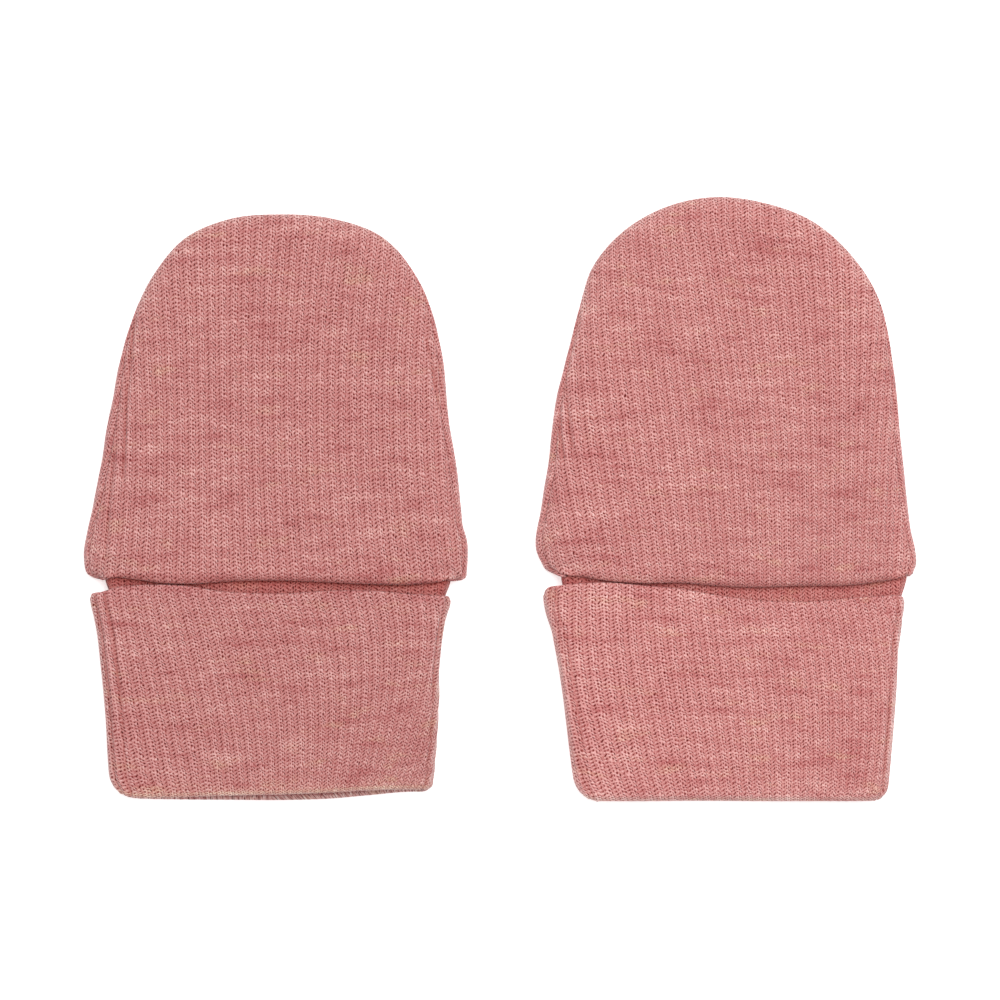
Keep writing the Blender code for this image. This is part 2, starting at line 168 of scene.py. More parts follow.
RIGHT = {
    "name": "right",
    "nudge": -0.36 * MM,
    "corner_rows": (1, 17),
    # The right mitten's painted shade under the fold is weaker, and the front of its cuff's fold a little
    # darker.
    "cloth_offset": (0.3, 0.4), "hand_course": 0.81, "painted_shade_share": 0.76, "fold_pale": (0.0, -0.05, -0.05),
    # Higher than the left mitten's tones, which paints brighter light on the right mitten.
    "hand_tone_with_painted_light": 0.965,
    "cuff_tone_with_painted_light": 1.015,
    "outline": table(
        "across up",
        (-36.6, 50.0), (-40.0, 51.6), (-42.0, 55.2), (-41.3, 65.1), (-39.6, 75.0), (-38.7, 84.0),
        (-37.7, 90.0), (-35.0, 100.8), (-32.6, 110.0), (-30.0, 118.4), (-23.4, 126.5),
        (-13.5, 132.3), (-3.0, 134.5), (8.5, 133.2), (19.2, 129.1), (28.2, 121.1), (34.2, 111.0),
        (35.8, 105.0), (37.3, 95.5), (38.9, 80.0), (41.1, 60.5), (42.0, 56.0), (42.2, 53.0), (41.2, 50.4),
    ),
    "wrist": table(
        "across up",
        (-36.6, 50.0), (-33.0, 50.2), (-29.0, 49.5), (-25.0, 49.0), (-18.0, 48.6), (-10.1, 48.7),
        (-3.2, 48.1), (5.9, 47.7), (15.0, 48.0), (28.6, 48.3), (36.5, 49.4), (41.2, 50.4),
    ),
    "seam": table(
        "up left right",
        (50.0, 0.9, 0.8), (51.5, 1.3, 1.5), (72.0, 1.6, 1.5), (95.0, 0.9, 0.9), (113.0, 0.0, 0.2),
        (120.0, 0.0, 0.0),
    ),
    "sides": table(
        "up left right tube_left tube_right",
        (0.0, -33.5, 35.8, -33.5, 35.8), (9.0, -34.6, 36.5, -34.6, 36.5),
        (17.0, -35.6, 37.2, -35.6, 37.2), (25.0, -36.6, 37.8, -36.6, 37.8),
        (33.0, -37.9, 38.25, -37.7, 38.25), (38.4, -39.1, 38.85, -37.8, 38.85),
        (43.0, -40.4, 39.5, -37.5, 39.4), (45.5, -40.8, 39.6, -37.4, 40.1),
        (50.0, -40.8, 39.6, -38.1, 41.4), (54.0, -40.8, 39.6, -38.2, 41.4),
    ),
    "edges": table(
        "across top top_behind fold fold_behind",
        (-39.0, 47.6, 45.4, 0.5, 0.5), (-34.0, 48.1, 46.0, 0.3, 0.3), (-26.0, 48.4, 46.2, 0.3, 0.2),
        (-18.0, 47.7, 46.0, 0.4, 0.2), (-10.0, 47.0, 45.8, 0.5, 0.3), (-1.0, 45.4, 45.0, 0.5, 0.3),
        (9.0, 44.3, 44.3, 0.4, 0.2), (19.0, 44.2, 44.2, 0.3, 0.2), (29.0, 45.1, 44.8, 0.3, 0.3),
        (38.0, 45.6, 45.0, 0.5, 0.5),
    ),
    "corners": table(
        "top fold",
        (1.2, 5.4), (0.8, 3.6),
    ),
    "cuff_creases": ((-1, 2.2, 1.7), (-1, 3.1, 2.8), (1, 1.3, 1.5)),
    "swells": table(
        "across up half_width half_length rise",
        (-20.0, 62.0, 12.0, 10.0, 0.25), (18.0, 68.0, 10.0, 18.0, 0.2), (-4.0, 92.0, 8.0, 22.0, 0.15),
        (10.0, 112.0, 18.0, 8.0, 0.15),
    ),
    "creases": (
        table("up across", (86.0, -37.0), (96.0, -35.5), (110.0, -32.0)),
        table("up across", (76.0, -34.0), (88.0, -35.5), (95.0, -35.5)),
        table("up across", (74.0, -36.0), (82.0, -37.0), (91.0, -37.0)),
    ),
    "hand_ribs": table(
        "up far_left middle far_right",
        (50.0, -30.5, 3.0, 30.5), (90.0, -37.0, 0.0, 32.0), (128.0, -36.0, -5.5, 34.5),
    ),
    "cuff_ribs": table(
        "up far_left middle far_right",
        (0.0, -36.0, 2.5, 30.5), (23.0, -42.5, 0.0, 32.5), (46.0, -43.0, -3.0, 29.5),
    ),
}

CROWN = table(
    "up height shoulder",
    (49.0, 6.0, 9.0), (55.0, 5.75, 9.0), (80.0, 5.2, 9.0), (105.0, 4.6, 8.0), (130.0, 4.1, 6.0),
)
SHOULDER_ROWS = (6, 12)  # the rows of an outline where its sides end and the round top begins
# Painted sheen on the rims: how far in it reaches, and how much it raises green and blue.
RIM_REACH, RIM_PAINTED_SHEEN = 1.0 * MM, np.array([0.0, 0.27, 0.25])
# Painted shade on the hand's wrist lip: how far up it reaches, its strength in red, green and blue, and how
# far in from the tube's sides it fades.
LIP_REACH, LIP_PAINTED_SHADE, LIP_ENDS = 0.8 * MM, np.array([0.16, 0.52, 0.56]), 4.0 * MM
CREASE_WIDTH, CREASE_FADE = 0.42 * MM, 4.0 * MM  # half across a trough, and how far in from its ends
# Painted shade in a crease's trough, and painted light on the ridge beside it, in red, green and blue.
CREASE_DEPTH, CREASE_PAINTED_SHADE = 0.3 * MM, np.array([0.14, 0.28, 0.3])
# A ridge beside a trough: its strength against the trough's, and its place in half-widths.
SIDE_RIDGE, SIDE_RIDGE_PLACE = 0.6, 1.8
CUFF_RIDGE, CUFF_RIDGE_PLACE = 0.35, 1.9
UNDER_FOLD = 0.8 * MM  # how far below the hand's fold the painted shade is strongest
STRIP_PAINTED_SHADE = np.array([0.88, 0.69, 0.67])  # painted shade on the cuff's strip under the hand: darker, and redder as light that has bounced between rose fibres is

for mitten in (LEFT, RIGHT):
    print(mitten["name"], "mitten:", len(mitten["outline"]["up"]), "outline points,",
          len(mitten["creases"]) + len(mitten["cuff_creases"]), "creases")

# %% [markdown]
# ## Curves through the tables
# An outline through so few points would be a polygon. A Bezier curve object could round it, but its
# points would then have to be read back from Blender. Here a cubic with slopes taken from each
# point's neighbours does it in a few lines of numpy, and equal steps along it give the stations.

# %% Smooth curves and equal steps along them
FINE = 12


def columns(rows, *names):
    """The named columns side by side, one row for each row of the table."""
    return np.stack([rows[name] for name in names], axis=-1)


def smooth(points, steps=FINE):
    """The cubic through the points: each stretch leaves and arrives with the slopes of its ends."""
    spacing = np.linalg.norm(np.diff(points[:, :2], axis=0), axis=1)
    slope = np.gradient(points, np.concatenate([[0.0], np.cumsum(spacing)]), axis=0)
    t = (np.arange(steps) / steps)[:, None]
    stretches = [
        (1 + 2 * t) * (1 - t) ** 2 * points[i] + t**2 * (3 - 2 * t) * points[i + 1]
        + length * (t * (1 - t) ** 2 * slope[i] - t**2 * (1 - t) * slope[i + 1])
        for i, length in enumerate(spacing)
    ]
    return np.vstack(stretches + [points[-1:]])


def evenly(line, count):
    """Points that cut the line into count stretches of the same length."""
    along = np.concatenate([[0.0], np.cumsum(np.linalg.norm(np.diff(line, axis=0), axis=1))])
    at = np.linspace(0.0, along[-1], count + 1)
    return np.stack([np.interp(at, along, line[:, k]) for k in range(line.shape[1])], axis=1)


def ease(share):
    """From 0 to 1 with level ends: three squares less two cubes."""
    share = np.clip(share, 0.0, 1.0)
    return share * share * (3 - 2 * share)


def distance(points, line):
    """How far each point is from a line of straight stretches: the least over the stretches."""
    nearest = np.full(points.shape[:-1], np.inf)
    for start, run in zip(line[:-1], np.diff(line, axis=0)):
        offset = points - start
        share = np.clip(offset @ run / (run @ run), 0.0, 1.0)
        nearest = np.minimum(nearest, np.linalg.norm(offset - share[..., None] * run, axis=-1))
    return nearest


def outline_of(mitten):
    """The hand's edge as a fine line: up the left side, over the top and down the right side."""
    return smooth(columns(mitten["outline"], "across", "up"))


def wrist_of(mitten):
    """The wavy fold at the wrist as a fine line from left to right."""
    return smooth(columns(mitten["wrist"], "across", "up"))


def place_of(mitten):
    """Where a mitten's own middle line and fold line are, from the box of its hand back."""
    low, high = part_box(mitten["name"] + "_hand_back")
    outline = outline_of(mitten)
    return np.array([low.x - outline[:, 0].min() + mitten["nudge"], high.y - outline[:, 1].max(), 0.0])


for mitten in (LEFT, RIGHT):
    mitten["place"] = place_of(mitten)
    print(mitten["name"], "mitten at", np.round(mitten["place"] / MM, 2).tolist(), "mm")

# %% [markdown]
# ## The grain of the knit
# Every stitch has an address in the cloth: how many ribs across and how many courses up. Blender
# could unwrap the pieces, but an unwrap knows nothing of the ribs. The rib number is worked out
# from the rib tables instead, as a low polynomial through where the three marked ribs run, and is
# kept in each piece's UV map in metres. The modelled relief and the materials both read it.

# %% Rib numbers from the rib tables
MARKED = np.array([-14, 0, 14]) * RIB
REACH = 40.0 * MM  # the polynomial is worked out in shares of this
MOST_ACROSS = 37.0 * MM  # past this, the ribs go on at their usual spacing
UV_SHIFT = 0.1  # keeps every address above zero


def powers(across, up):
    """Each product of across to 0, 1, 2 and up to 0, 1, 2, as shares of the reach."""
    x, y = across / REACH, up / REACH
    return np.stack([x**i * y**j for i in range(3) for j in range(3)], axis=-1)


def grain(ribs):
    """A function of across and up that gives how far across the cloth a point is, in metres."""
    marks = columns(ribs, "far_left", "middle", "far_right")
    up = np.repeat(ribs["up"][:, None], len(MARKED), axis=1)
    number = np.broadcast_to(MARKED, marks.shape)
    weights = np.linalg.lstsq(powers(marks.ravel(), up.ravel()), number.ravel(), rcond=None)[0]
    lowest, highest = ribs["up"].min(), ribs["up"].max()

    def address(across, up):
        """The polynomial between the outer marks, and the usual spacing of ribs beyond them."""
        inside = np.clip(across, -MOST_ACROSS, MOST_ACROSS)
        return powers(inside, np.clip(up, lowest, highest)) @ weights + (across - inside)

    return address


def rib_relief(address):
    """1 on top of a rib and 0 in the groove: half of one plus a cosine, once for each rib."""
    return 0.5 + 0.5 * np.cos(2 * np.pi * address / RIB)


for mitten in (LEFT, RIGHT):
    mitten["hand_grain"] = grain(mitten["hand_ribs"])
    mitten["cuff_grain"] = grain(mitten["cuff_ribs"])
    here = mitten["hand_grain"](np.array([-30.0, 0.0, 30.0]) * MM, np.full(3, 80.0 * MM)) / RIB
    print(mitten["name"], "hand: rib numbers across the middle", np.round(here, 1).tolist())

# %% [markdown]
# ## Meshes from grids
# Both hand panels are tongue-shaped, and a plain grid would have to end in a point at the fingertips.
# A ring grid alone would crowd in the middle. So a panel is a band of rings round its edge, where
# the cloth rolls, and a four-sided grid inside that shares the last ring. The four sides of the
# inner grid are blended as a Coons patch: each point is a mean of the opposite sides, less the
# mean of the corners. The rings close on themselves, so there are no poles and no loose edges.

# %% Grids, faces and meshes
def station_ids(sides, across):
    """Which station of the ring each point on the inner grid's border is, as rows up the panel."""
    ids = np.full((sides + 1, across + 1), -1)
    up, over = np.arange(sides + 1), np.arange(across + 1)
    ids[:, 0] = up
    ids[-1, :] = sides + over
    ids[:, -1] = sides + across + (sides - up)
    ids[0, :] = (2 * sides + across + (across - over)) % (2 * sides + 2 * across)
    return ids


def patch(ring, ids):
    """The inner grid: opposite sides blended by shares, less the corners blended both ways."""
    border = ring[np.maximum(ids, 0)]
    rows, cols = ids.shape
    v = np.linspace(0, 1, rows)[:, None, None]
    u = np.linspace(0, 1, cols)[None, :, None]
    left, right, low, high = border[:, :1], border[:, -1:], border[:1], border[-1:]
    corners = (
        (1 - u) * (1 - v) * border[0, 0] + u * (1 - v) * border[0, -1]
        + (1 - u) * v * border[-1, 0] + u * v * border[-1, -1]
    )
    return (1 - u) * left + u * right + (1 - v) * low + v * high - corners


def quads(ids):
    """The four-cornered faces of a grid of vertex numbers, anticlockwise with columns going right."""
    return np.stack([ids[:-1, :-1], ids[:-1, 1:], ids[1:, 1:], ids[1:, :-1]], axis=-1).reshape(-1, 4)


def normals(points, faces):
    """Each vertex's normal: the faces' cross products summed where they meet, and set to length 1."""
    across = points[faces[:, 2]] - points[faces[:, 0]]
    facing = np.cross(across, points[faces[:, 3]] - points[faces[:, 1]])
    total = np.zeros_like(points)
    for corner in range(4):
        for axis in range(3):
            total[:, axis] += np.bincount(faces[:, corner], facing[:, axis], len(points))
    return total / np.maximum(np.linalg.norm(total, axis=1), 1e-12)[:, None]


def make_piece(name, points, faces, addresses, mitten, tone_and_painted_light, material):
    """An object at the origin with smooth faces, a UV map of addresses and a colour for each point."""
    mesh = bpy.data.meshes.new(name)
    mesh.from_pydata((points + mitten["place"]).tolist(), [], faces.tolist())
    layer = mesh.uv_layers.new(name="Cloth")
    corner_addresses = addresses if len(addresses) == faces.size else addresses[faces.ravel()]
    course = mitten["hand_course"] * MM if "hand" in name else COURSE
    corner_addresses = corner_addresses * (1, COURSE / course) + UV_SHIFT + mitten["cloth_offset"]
    layer.uv.foreach_set("vector", corner_addresses.astype(np.float32).ravel())
    colours = np.ones((len(points), 4), np.float32)
    colours[:, :3] = tone_and_painted_light
    mesh.attributes.new("Tone_and_painted_light", "FLOAT_COLOR", "POINT").data.foreach_set("color", colours.ravel())
    mesh.shade_smooth()
    mesh.materials.append(material)
    piece = bpy.data.objects.new(name, mesh)
    bpy.context.scene.collection.objects.link(piece)
    return piece


def solidify(piece, thickness):
    """Gives an open surface its wall, inwards from the shown side."""
    wall_maker = piece.modifiers.new("Cloth wall", "SOLIDIFY")
    wall_maker.thickness = thickness
    wall_maker.offset = -1.0


print("stations of a grid with 2 sides and 3 across:", station_ids(2, 3).tolist())

# %% [markdown]
# ## Helpers for materials
# The two wools share their patterns, so the patterns are node groups. Groups could be wired by hand
# in the shader editor, but short helpers keep each formula on one line that reads like arithmetic.
# Every helper adds one node, feeds it numbers or sockets, and gives back the socket it makes.

# %% Helpers for node trees
def new_group(name, inputs, outputs):
    """An empty shader node group with the named sockets, and its two end nodes."""
    group = bpy.data.node_groups.new(name, "ShaderNodeTree")
    for socket, kind, value in inputs:
        made = group.interface.new_socket(socket, in_out="INPUT", socket_type="NodeSocket" + kind)
        if value is not None:
            made.default_value = value
    for socket, kind in outputs:
        group.interface.new_socket(socket, in_out="OUTPUT", socket_type="NodeSocket" + kind)
    return group, group.nodes.new("NodeGroupInput"), group.nodes.new("NodeGroupOutput")


def feed(tree, socket, value):
    """Links a socket's value, or sets it if it is a number or a tuple."""
    if isinstance(value, bpy.types.NodeSocket):
        tree.links.new(value, socket)
    else:
        socket.default_value = value


def math(tree, operation, *values):
    """A Math node's result."""
    node = tree.nodes.new("ShaderNodeMath")
    node.operation = operation
    for socket, value in zip(node.inputs, values):
        feed(tree, socket, value)
    return node.outputs[0]


def ramp(tree, value, low, high, out_low=0.0, out_high=1.0):
    """A soft step: out_low below low, out_high above high, and level at both ends."""
    node = tree.nodes.new("ShaderNodeMapRange")
    node.interpolation_type = "SMOOTHSTEP"
    for name, number in zip(
        ("Value", "From Min", "From Max", "To Min", "To Max"), (value, low, high, out_low, out_high)
    ):
        feed(tree, node.inputs[name], number)
    return node.outputs["Result"]


def noise(tree, vector, scale, detail=2.0, roughness=0.5):
    """A noise texture's value at the vector."""
    node = tree.nodes.new("ShaderNodeTexNoise")
    feed(tree, node.inputs["Vector"], vector)
    for name, number in zip(("Scale", "Detail", "Roughness"), (scale, detail, roughness)):
        node.inputs[name].default_value = number
    return node.outputs["Fac"]


def stretched(tree, vector, scale):
    """The vector with each axis scaled on its own."""
    node = tree.nodes.new("ShaderNodeMapping")
    feed(tree, node.inputs["Vector"], vector)
    node.inputs["Scale"].default_value = scale
    return node.outputs["Vector"]


# The Mix node names its sockets once for each kind of value, so the colour ones are found by type.
def mixed_colour(tree, factor, first, second, blend="MIX"):
    """Two colours mixed by a factor."""
    node = tree.nodes.new("ShaderNodeMix")
    node.data_type, node.blend_type = "RGBA", blend
    sockets = {s.identifier: s for s in node.inputs}
    feed(tree, sockets["Factor_Float"], factor)
    feed(tree, sockets["A_Color"], first)
    feed(tree, sockets["B_Color"], second)
    return next(s for s in node.outputs if s.identifier == "Result_Color")


helpers = (new_group, feed, math, ramp, noise, stretched, mixed_colour)
print("node helpers:", ", ".join(helper.__name__ for helper in helpers))

# %% [markdown]
# ## Knit as a node group
# In a rib knit each rib is a column of slanted stitch legs, with small holes between them that lie in
# shade, and short lengths of yarn that catch the light where a loop turns over. The legs could be
# modelled for a very close view, but at this gauge they are finer than the mesh. So the shade and the
# light are painted: each kind of hole is a mark of painted shade, and each bright length a mark of
# painted highlight, that comes back once a course, leans, and differs a little in strength from stitch
# to stitch. The marks and a few waves across the rib, which paint the light and shade of each rib's
# swell and its grooves, add up to one shade, which both materials use.

# %% The stitch group
# One mark: place across the rib, half its width, place along the course, lean, sharpness, strength.
# The place across runs from -0.5 to 0.5 with 0 in the rib's middle, and the place along goes down.
MARKS = (
    (-0.23, 0.145, 0.53, -2.8, 2.4, -1.12), (0.0, 0.09, 0.15, 0.0, 1.8, -0.85),
    (0.225, 0.115, 0.56, 2.4, 2.2, -1.22), (0.44, 0.11, 0.09, 2.6, 2.4, -1.12),
    (0.0, 0.10, 0.62, 0.0, 1.8, 0.55), (0.32, 0.115, 0.12, 2.6, 2.2, 0.85),
    (-0.345, 0.125, 0.15, -2.8, 2.2, 0.75),
)
# Waves of painted light and shade across the rib, as count, strength and place of a pale crest: the light on
# the rib's own swell, then shaded columns.
WAVES = ((1, 0.09, 0.15), (3, 0.10, 0.15), (5, 0.05, -0.1))
LEAST_MARK, MARK_CHANCE = 0.75, 0.4  # a mark's least strength, and how much chance adds at most
WANDER_STRETCH = (800.0, 600.0, 1.0)  # the yarn's unevenness, in bumps a metre across and up
WANDER_RIBS, WANDER_COURSES = 0.3, 1.6  # how far it moves the stitches


def make_mark_group():
    """One short stroke a stitch, of painted shade or painted highlight: how much of it covers a point, with
    its own random strength.

    With u the place across the rib, the stroke covers (1 - |u - at| / width) smoothly across, times
    (0.5 + 0.5 cos(2 pi v)) to the power of its sharpness along, where v = course + phase + lean (u - at).
    """
    group, given, result = new_group(
        "Stitch mark",
        [
            ("Across", "Float", 0.0), ("Rib", "Float", 0.0), ("Course", "Float", 0.0), ("At", "Float", 0.0),
            ("Width", "Float", 0.1), ("Phase", "Float", 0.0), ("Lean", "Float", 0.0),
            ("Sharpness", "Float", 2.0),
        ],
        [("Cover", "Float")],
    )
    sockets = given.outputs
    beside = math(group, "SUBTRACT", sockets["Across"], sockets["At"])
    share = math(group, "DIVIDE", math(group, "ABSOLUTE", beside), sockets["Width"])
    across = ramp(group, share, 0.0, 1.0, 1.0, 0.0)
    along = math(group, "ADD", sockets["Course"], sockets["Phase"])
    along = math(group, "ADD", along, math(group, "MULTIPLY", beside, sockets["Lean"]))
    wave = math(group, "COSINE", math(group, "MULTIPLY", along, 2 * np.pi))
    wave = math(group, "POWER", math(group, "MULTIPLY_ADD", wave, 0.5, 0.5), sockets["Sharpness"])
    cell = group.nodes.new("ShaderNodeCombineXYZ")
    feed(group, cell.inputs[0], math(group, "FLOOR", sockets["Rib"]))
    feed(group, cell.inputs[1], math(group, "FLOOR", math(group, "ADD", along, 0.5)))
    feed(group, cell.inputs[2], sockets["At"])
    chance = group.nodes.new("ShaderNodeTexWhiteNoise")
    feed(group, chance.inputs["Vector"], cell.outputs[0])
    squared = math(group, "POWER", chance.outputs["Value"], 2.0)
    strength = math(group, "MULTIPLY_ADD", squared, MARK_CHANCE, LEAST_MARK)
    cover = math(group, "MULTIPLY", math(group, "MULTIPLY", across, wave), strength)
    feed(group, result.inputs["Cover"], cover)
    return group


def make_stitch_group():
    """Painted light and shade of a rib knit: a level of 1 plus the waves and the strength of each mark where
    it covers the point.
    """
    group, given, result = new_group(
        "Rib stitches", [("Address", "Vector", None), ("Rib", "Float", RIB), ("Course", "Float", COURSE)],
        [("Shade", "Float")],
    )
    address = given.outputs["Address"]
    parts = group.nodes.new("ShaderNodeSeparateXYZ")
    feed(group, parts.inputs[0], address)
    wander = math(group, "SUBTRACT", noise(group, stretched(group, address, WANDER_STRETCH), 1.0), 0.5)
    rib = math(group, "DIVIDE", math(group, "SUBTRACT", parts.outputs["X"], UV_SHIFT), given.outputs["Rib"])
    rib = math(group, "ADD", math(group, "MULTIPLY_ADD", wander, WANDER_RIBS, rib), 0.5)
    course = math(group, "DIVIDE", parts.outputs["Y"], given.outputs["Course"])
    course = math(group, "MULTIPLY_ADD", wander, WANDER_COURSES, course)
    across = math(group, "SUBTRACT", math(group, "FRACT", rib), 0.5)
    shade = 1.0
    for count, strength, place in WAVES:
        turn = math(group, "MULTIPLY_ADD", across, 2 * np.pi * count, -2 * np.pi * count * place)
        shade = math(group, "MULTIPLY_ADD", math(group, "COSINE", turn), strength, shade)
    mark_group = make_mark_group()
    for *shape, strength in MARKS:
        mark = group.nodes.new("ShaderNodeGroup")
        mark.node_tree = mark_group
        for socket, value in (("Across", across), ("Rib", rib), ("Course", course)):
            feed(group, mark.inputs[socket], value)
        for socket, value in zip(("At", "Width", "Phase", "Lean", "Sharpness"), shape):
            mark.inputs[socket].default_value = value
        shade = math(group, "MULTIPLY_ADD", mark.outputs["Cover"], strength, shade)
    feed(group, result.inputs["Shade"], shade)
    return group


stitches = make_stitch_group()
print("stitch group with", len(stitches.nodes), "nodes")

# %% [markdown]
# ## Melange yarn as a node group
# Melange yarn is spun from fibres dyed in several shades, so short lengths of it come out deeper,
# paler or warmer. Each length runs along a course, and shows as a soft streak a few millimetres
# long and one or two courses high. A painted map could show that, but stretched noise on the
# address does it everywhere and at any scale.

# %% The melange group
# Each layer of noise: its stretch in bumps a metre across and up, its detail and its roughness.
LONG_STREAKS = ((120.0, 500.0, 1.0), 3.0, 0.55)
PATCHES = ((55.0, 170.0, 1.0), 2.0, 0.5)
WARM_STREAKS = ((90.0, 260.0, 1.0), 2.0, 0.6)
FIBRES = ((2800.0, 2600.0, 1.0), 2.0, 0.7)
LONG_SHARE = 0.65  # of the long streaks in the yarn's level, and the patches have the rest
DEEP_RANGE, PALE_RANGE, WARM_RANGE = (0.5, 0.32), (0.5, 0.7), (0.56, 0.78)


def make_melange_group():
    """Yarn colour: three layers of noise, stretched along the courses, pick the shade of the yarn."""
    group, given, result = new_group(
        "Melange yarn",
        [
            ("Address", "Vector", None), ("Yarn", "Color", (0.5, 0.5, 0.5, 1)),
            ("Deep", "Color", (0.5, 0.5, 0.5, 1)), ("Pale", "Color", (0.5, 0.5, 0.5, 1)),
            ("Warm", "Color", (0.5, 0.5, 0.5, 1)),
        ],
        [("Color", "Color"), ("Fibre", "Float")],
    )
    address = given.outputs["Address"]
    long_streaks, patches, warm_streaks, fibre = (
        noise(group, stretched(group, address, stretch), 1.0, detail, roughness)
        for stretch, detail, roughness in (LONG_STREAKS, PATCHES, WARM_STREAKS, FIBRES)
    )
    patchy = math(group, "MULTIPLY", patches, 1 - LONG_SHARE)
    level = math(group, "MULTIPLY_ADD", long_streaks, LONG_SHARE, patchy)
    colour = given.outputs["Yarn"]
    for value, span, shade in ((level, DEEP_RANGE, "Deep"), (level, PALE_RANGE, "Pale"),
                               (warm_streaks, WARM_RANGE, "Warm")):
        colour = mixed_colour(group, ramp(group, value, *span), colour, given.outputs[shade])
    feed(group, result.inputs["Color"], colour)
    feed(group, result.inputs["Fibre"], fibre)
    return group


melange = make_melange_group()
print("melange group with", len(melange.nodes), "nodes")

# %% [markdown]
# ## The two wool materials
# Wool is matt, with a faint sheen from fibres that stand up. The hand and the cuff are the same
# yarn, but the cuff is a shade deeper, so each has its own material with the same two groups.
# The stitch shade, painted shade and highlight, darkens the yarn colour more in green and blue than
# in red, as light that bounces between rose fibres does. The same shade, with the fibres' noise, is
# the height for a Bump node. A colour kept on each point then sets each piece's tone, with painted
# light that brightens the right mitten, paints sheen on the rims and shade at the folds and creases,
# and pales the front of the cuff's fold.

# %% Wool materials
BUMP_DEPTH = 0.16 * MM
FIBRE_SHADE = 1.7  # how much the fibres' noise changes the shade
LEAST_SHADE, MOST_SHADE = 0.12, 1.5
SHADE_POWERS = {"Red": 0.78, "Green": 1.55, "Blue": 1.6}
BUMP_STRENGTH = 0.8
FUZZ_HEIGHT = 0.8  # of the fibres' noise, beside the stitches' shade
WOOL_FINISH = {"Roughness": 0.95, "Specular IOR Level": 0.1, "Sheen Weight": 0.4, "Sheen Roughness": 0.4}


def wool(name, yarn, deep, pale, warm):
    """Principled wool: yarn colour times the powers of a shade, a bump and a little sheen.

    The shade is the stitches' painted shade and highlight plus FIBRE_SHADE times (the fibres' noise less a
    half).
    """
    material = bpy.data.materials.new(name)
    material.use_nodes = True
    tree = material.node_tree
    shader = tree.nodes["Principled BSDF"]
    cloth = tree.nodes.new("ShaderNodeUVMap")
    cloth.uv_map = "Cloth"
    knit = tree.nodes.new("ShaderNodeGroup")
    knit.node_tree = stitches
    yarns = tree.nodes.new("ShaderNodeGroup")
    yarns.node_tree = melange
    for group in (knit, yarns):
        feed(tree, group.inputs["Address"], cloth.outputs["UV"])
    knit.inputs["Rib"].default_value = RIB
    knit.inputs["Course"].default_value = COURSE
    for socket, colour in zip(("Yarn", "Deep", "Pale", "Warm"), (yarn, deep, pale, warm)):
        yarns.inputs[socket].default_value = (*colour, 1.0)

    # A shade of 1 leaves the yarn's colour; red changes less with it than green and blue do.
    fibre_shade = math(tree, "MULTIPLY_ADD", yarns.outputs["Fibre"], FIBRE_SHADE, -FIBRE_SHADE / 2)
    shade = math(tree, "ADD", knit.outputs["Shade"], fibre_shade)
    shade = math(tree, "MINIMUM", math(tree, "MAXIMUM", shade, LEAST_SHADE), MOST_SHADE)
    gain = tree.nodes.new("ShaderNodeCombineColor")
    for socket, power in SHADE_POWERS.items():
        feed(tree, gain.inputs[socket], math(tree, "POWER", shade, power))
    colour = mixed_colour(tree, 1.0, yarns.outputs["Color"], gain.outputs["Color"], "MULTIPLY")
    # The colour kept on each point: each piece's tone with painted light, painted sheen on the rims, and
    # painted shade at the folds and creases.
    tone_and_painted_light = tree.nodes.new("ShaderNodeAttribute")
    tone_and_painted_light.attribute_name = "Tone_and_painted_light"
    colour = mixed_colour(tree, 1.0, colour, tone_and_painted_light.outputs["Color"], "MULTIPLY")
    feed(tree, shader.inputs["Base Color"], colour)
    bump = tree.nodes.new("ShaderNodeBump")
    bump.inputs["Distance"].default_value = BUMP_DEPTH
    bump.inputs["Strength"].default_value = BUMP_STRENGTH
    fuzzy = math(tree, "MULTIPLY", yarns.outputs["Fibre"], FUZZ_HEIGHT)
    feed(tree, bump.inputs["Height"], math(tree, "ADD", knit.outputs["Shade"], fuzzy))
    feed(tree, shader.inputs["Normal"], bump.outputs["Normal"])
    for socket, number in WOOL_FINISH.items():
        shader.inputs[socket].default_value = number
    return material


hand_wool = wool(
    "rose_wool_hand", (0.58, 0.235, 0.222), (0.49, 0.16, 0.155), (0.68, 0.325, 0.30), (0.61, 0.29, 0.235)
)
cuff_wool = wool(
    "rose_wool_cuff", (0.58, 0.235, 0.222), (0.49, 0.155, 0.15), (0.68, 0.325, 0.30), (0.61, 0.29, 0.23)
)
print("materials:", hand_wool.name, cuff_wool.name)

# %% [markdown]
# ## The shape of the hand
# The hand lies flat: its back is on the table, its sides are round, and its front rises over the
# wrist end of the tube. A cloth simulation could settle it, but the laid shape is already known, so
# it is a formula: a quarter of an ellipse in from the edge, a shorter one at the wrist, and soft
# swells. The ring stations go up the left side, over the top, down the right side and back along
# the wrist.

# %% Stations and heights of a hand
MIDDLE = np.array([0.5, 73.3]) * MM  # the rings of a hand draw together towards this point
DRAW_IN = np.array([0.79, 0.836])  # how far they do, across and up
WRIST_CORNER = 3.0 * MM  # over this, the side's inset fades out along the wrist
SEAM_GAP = 0.16 * MM
TUBE_FADES, FADE_LENGTH = 51.0 * MM, 6.0 * MM  # where the tube stops lifting the hand's sides


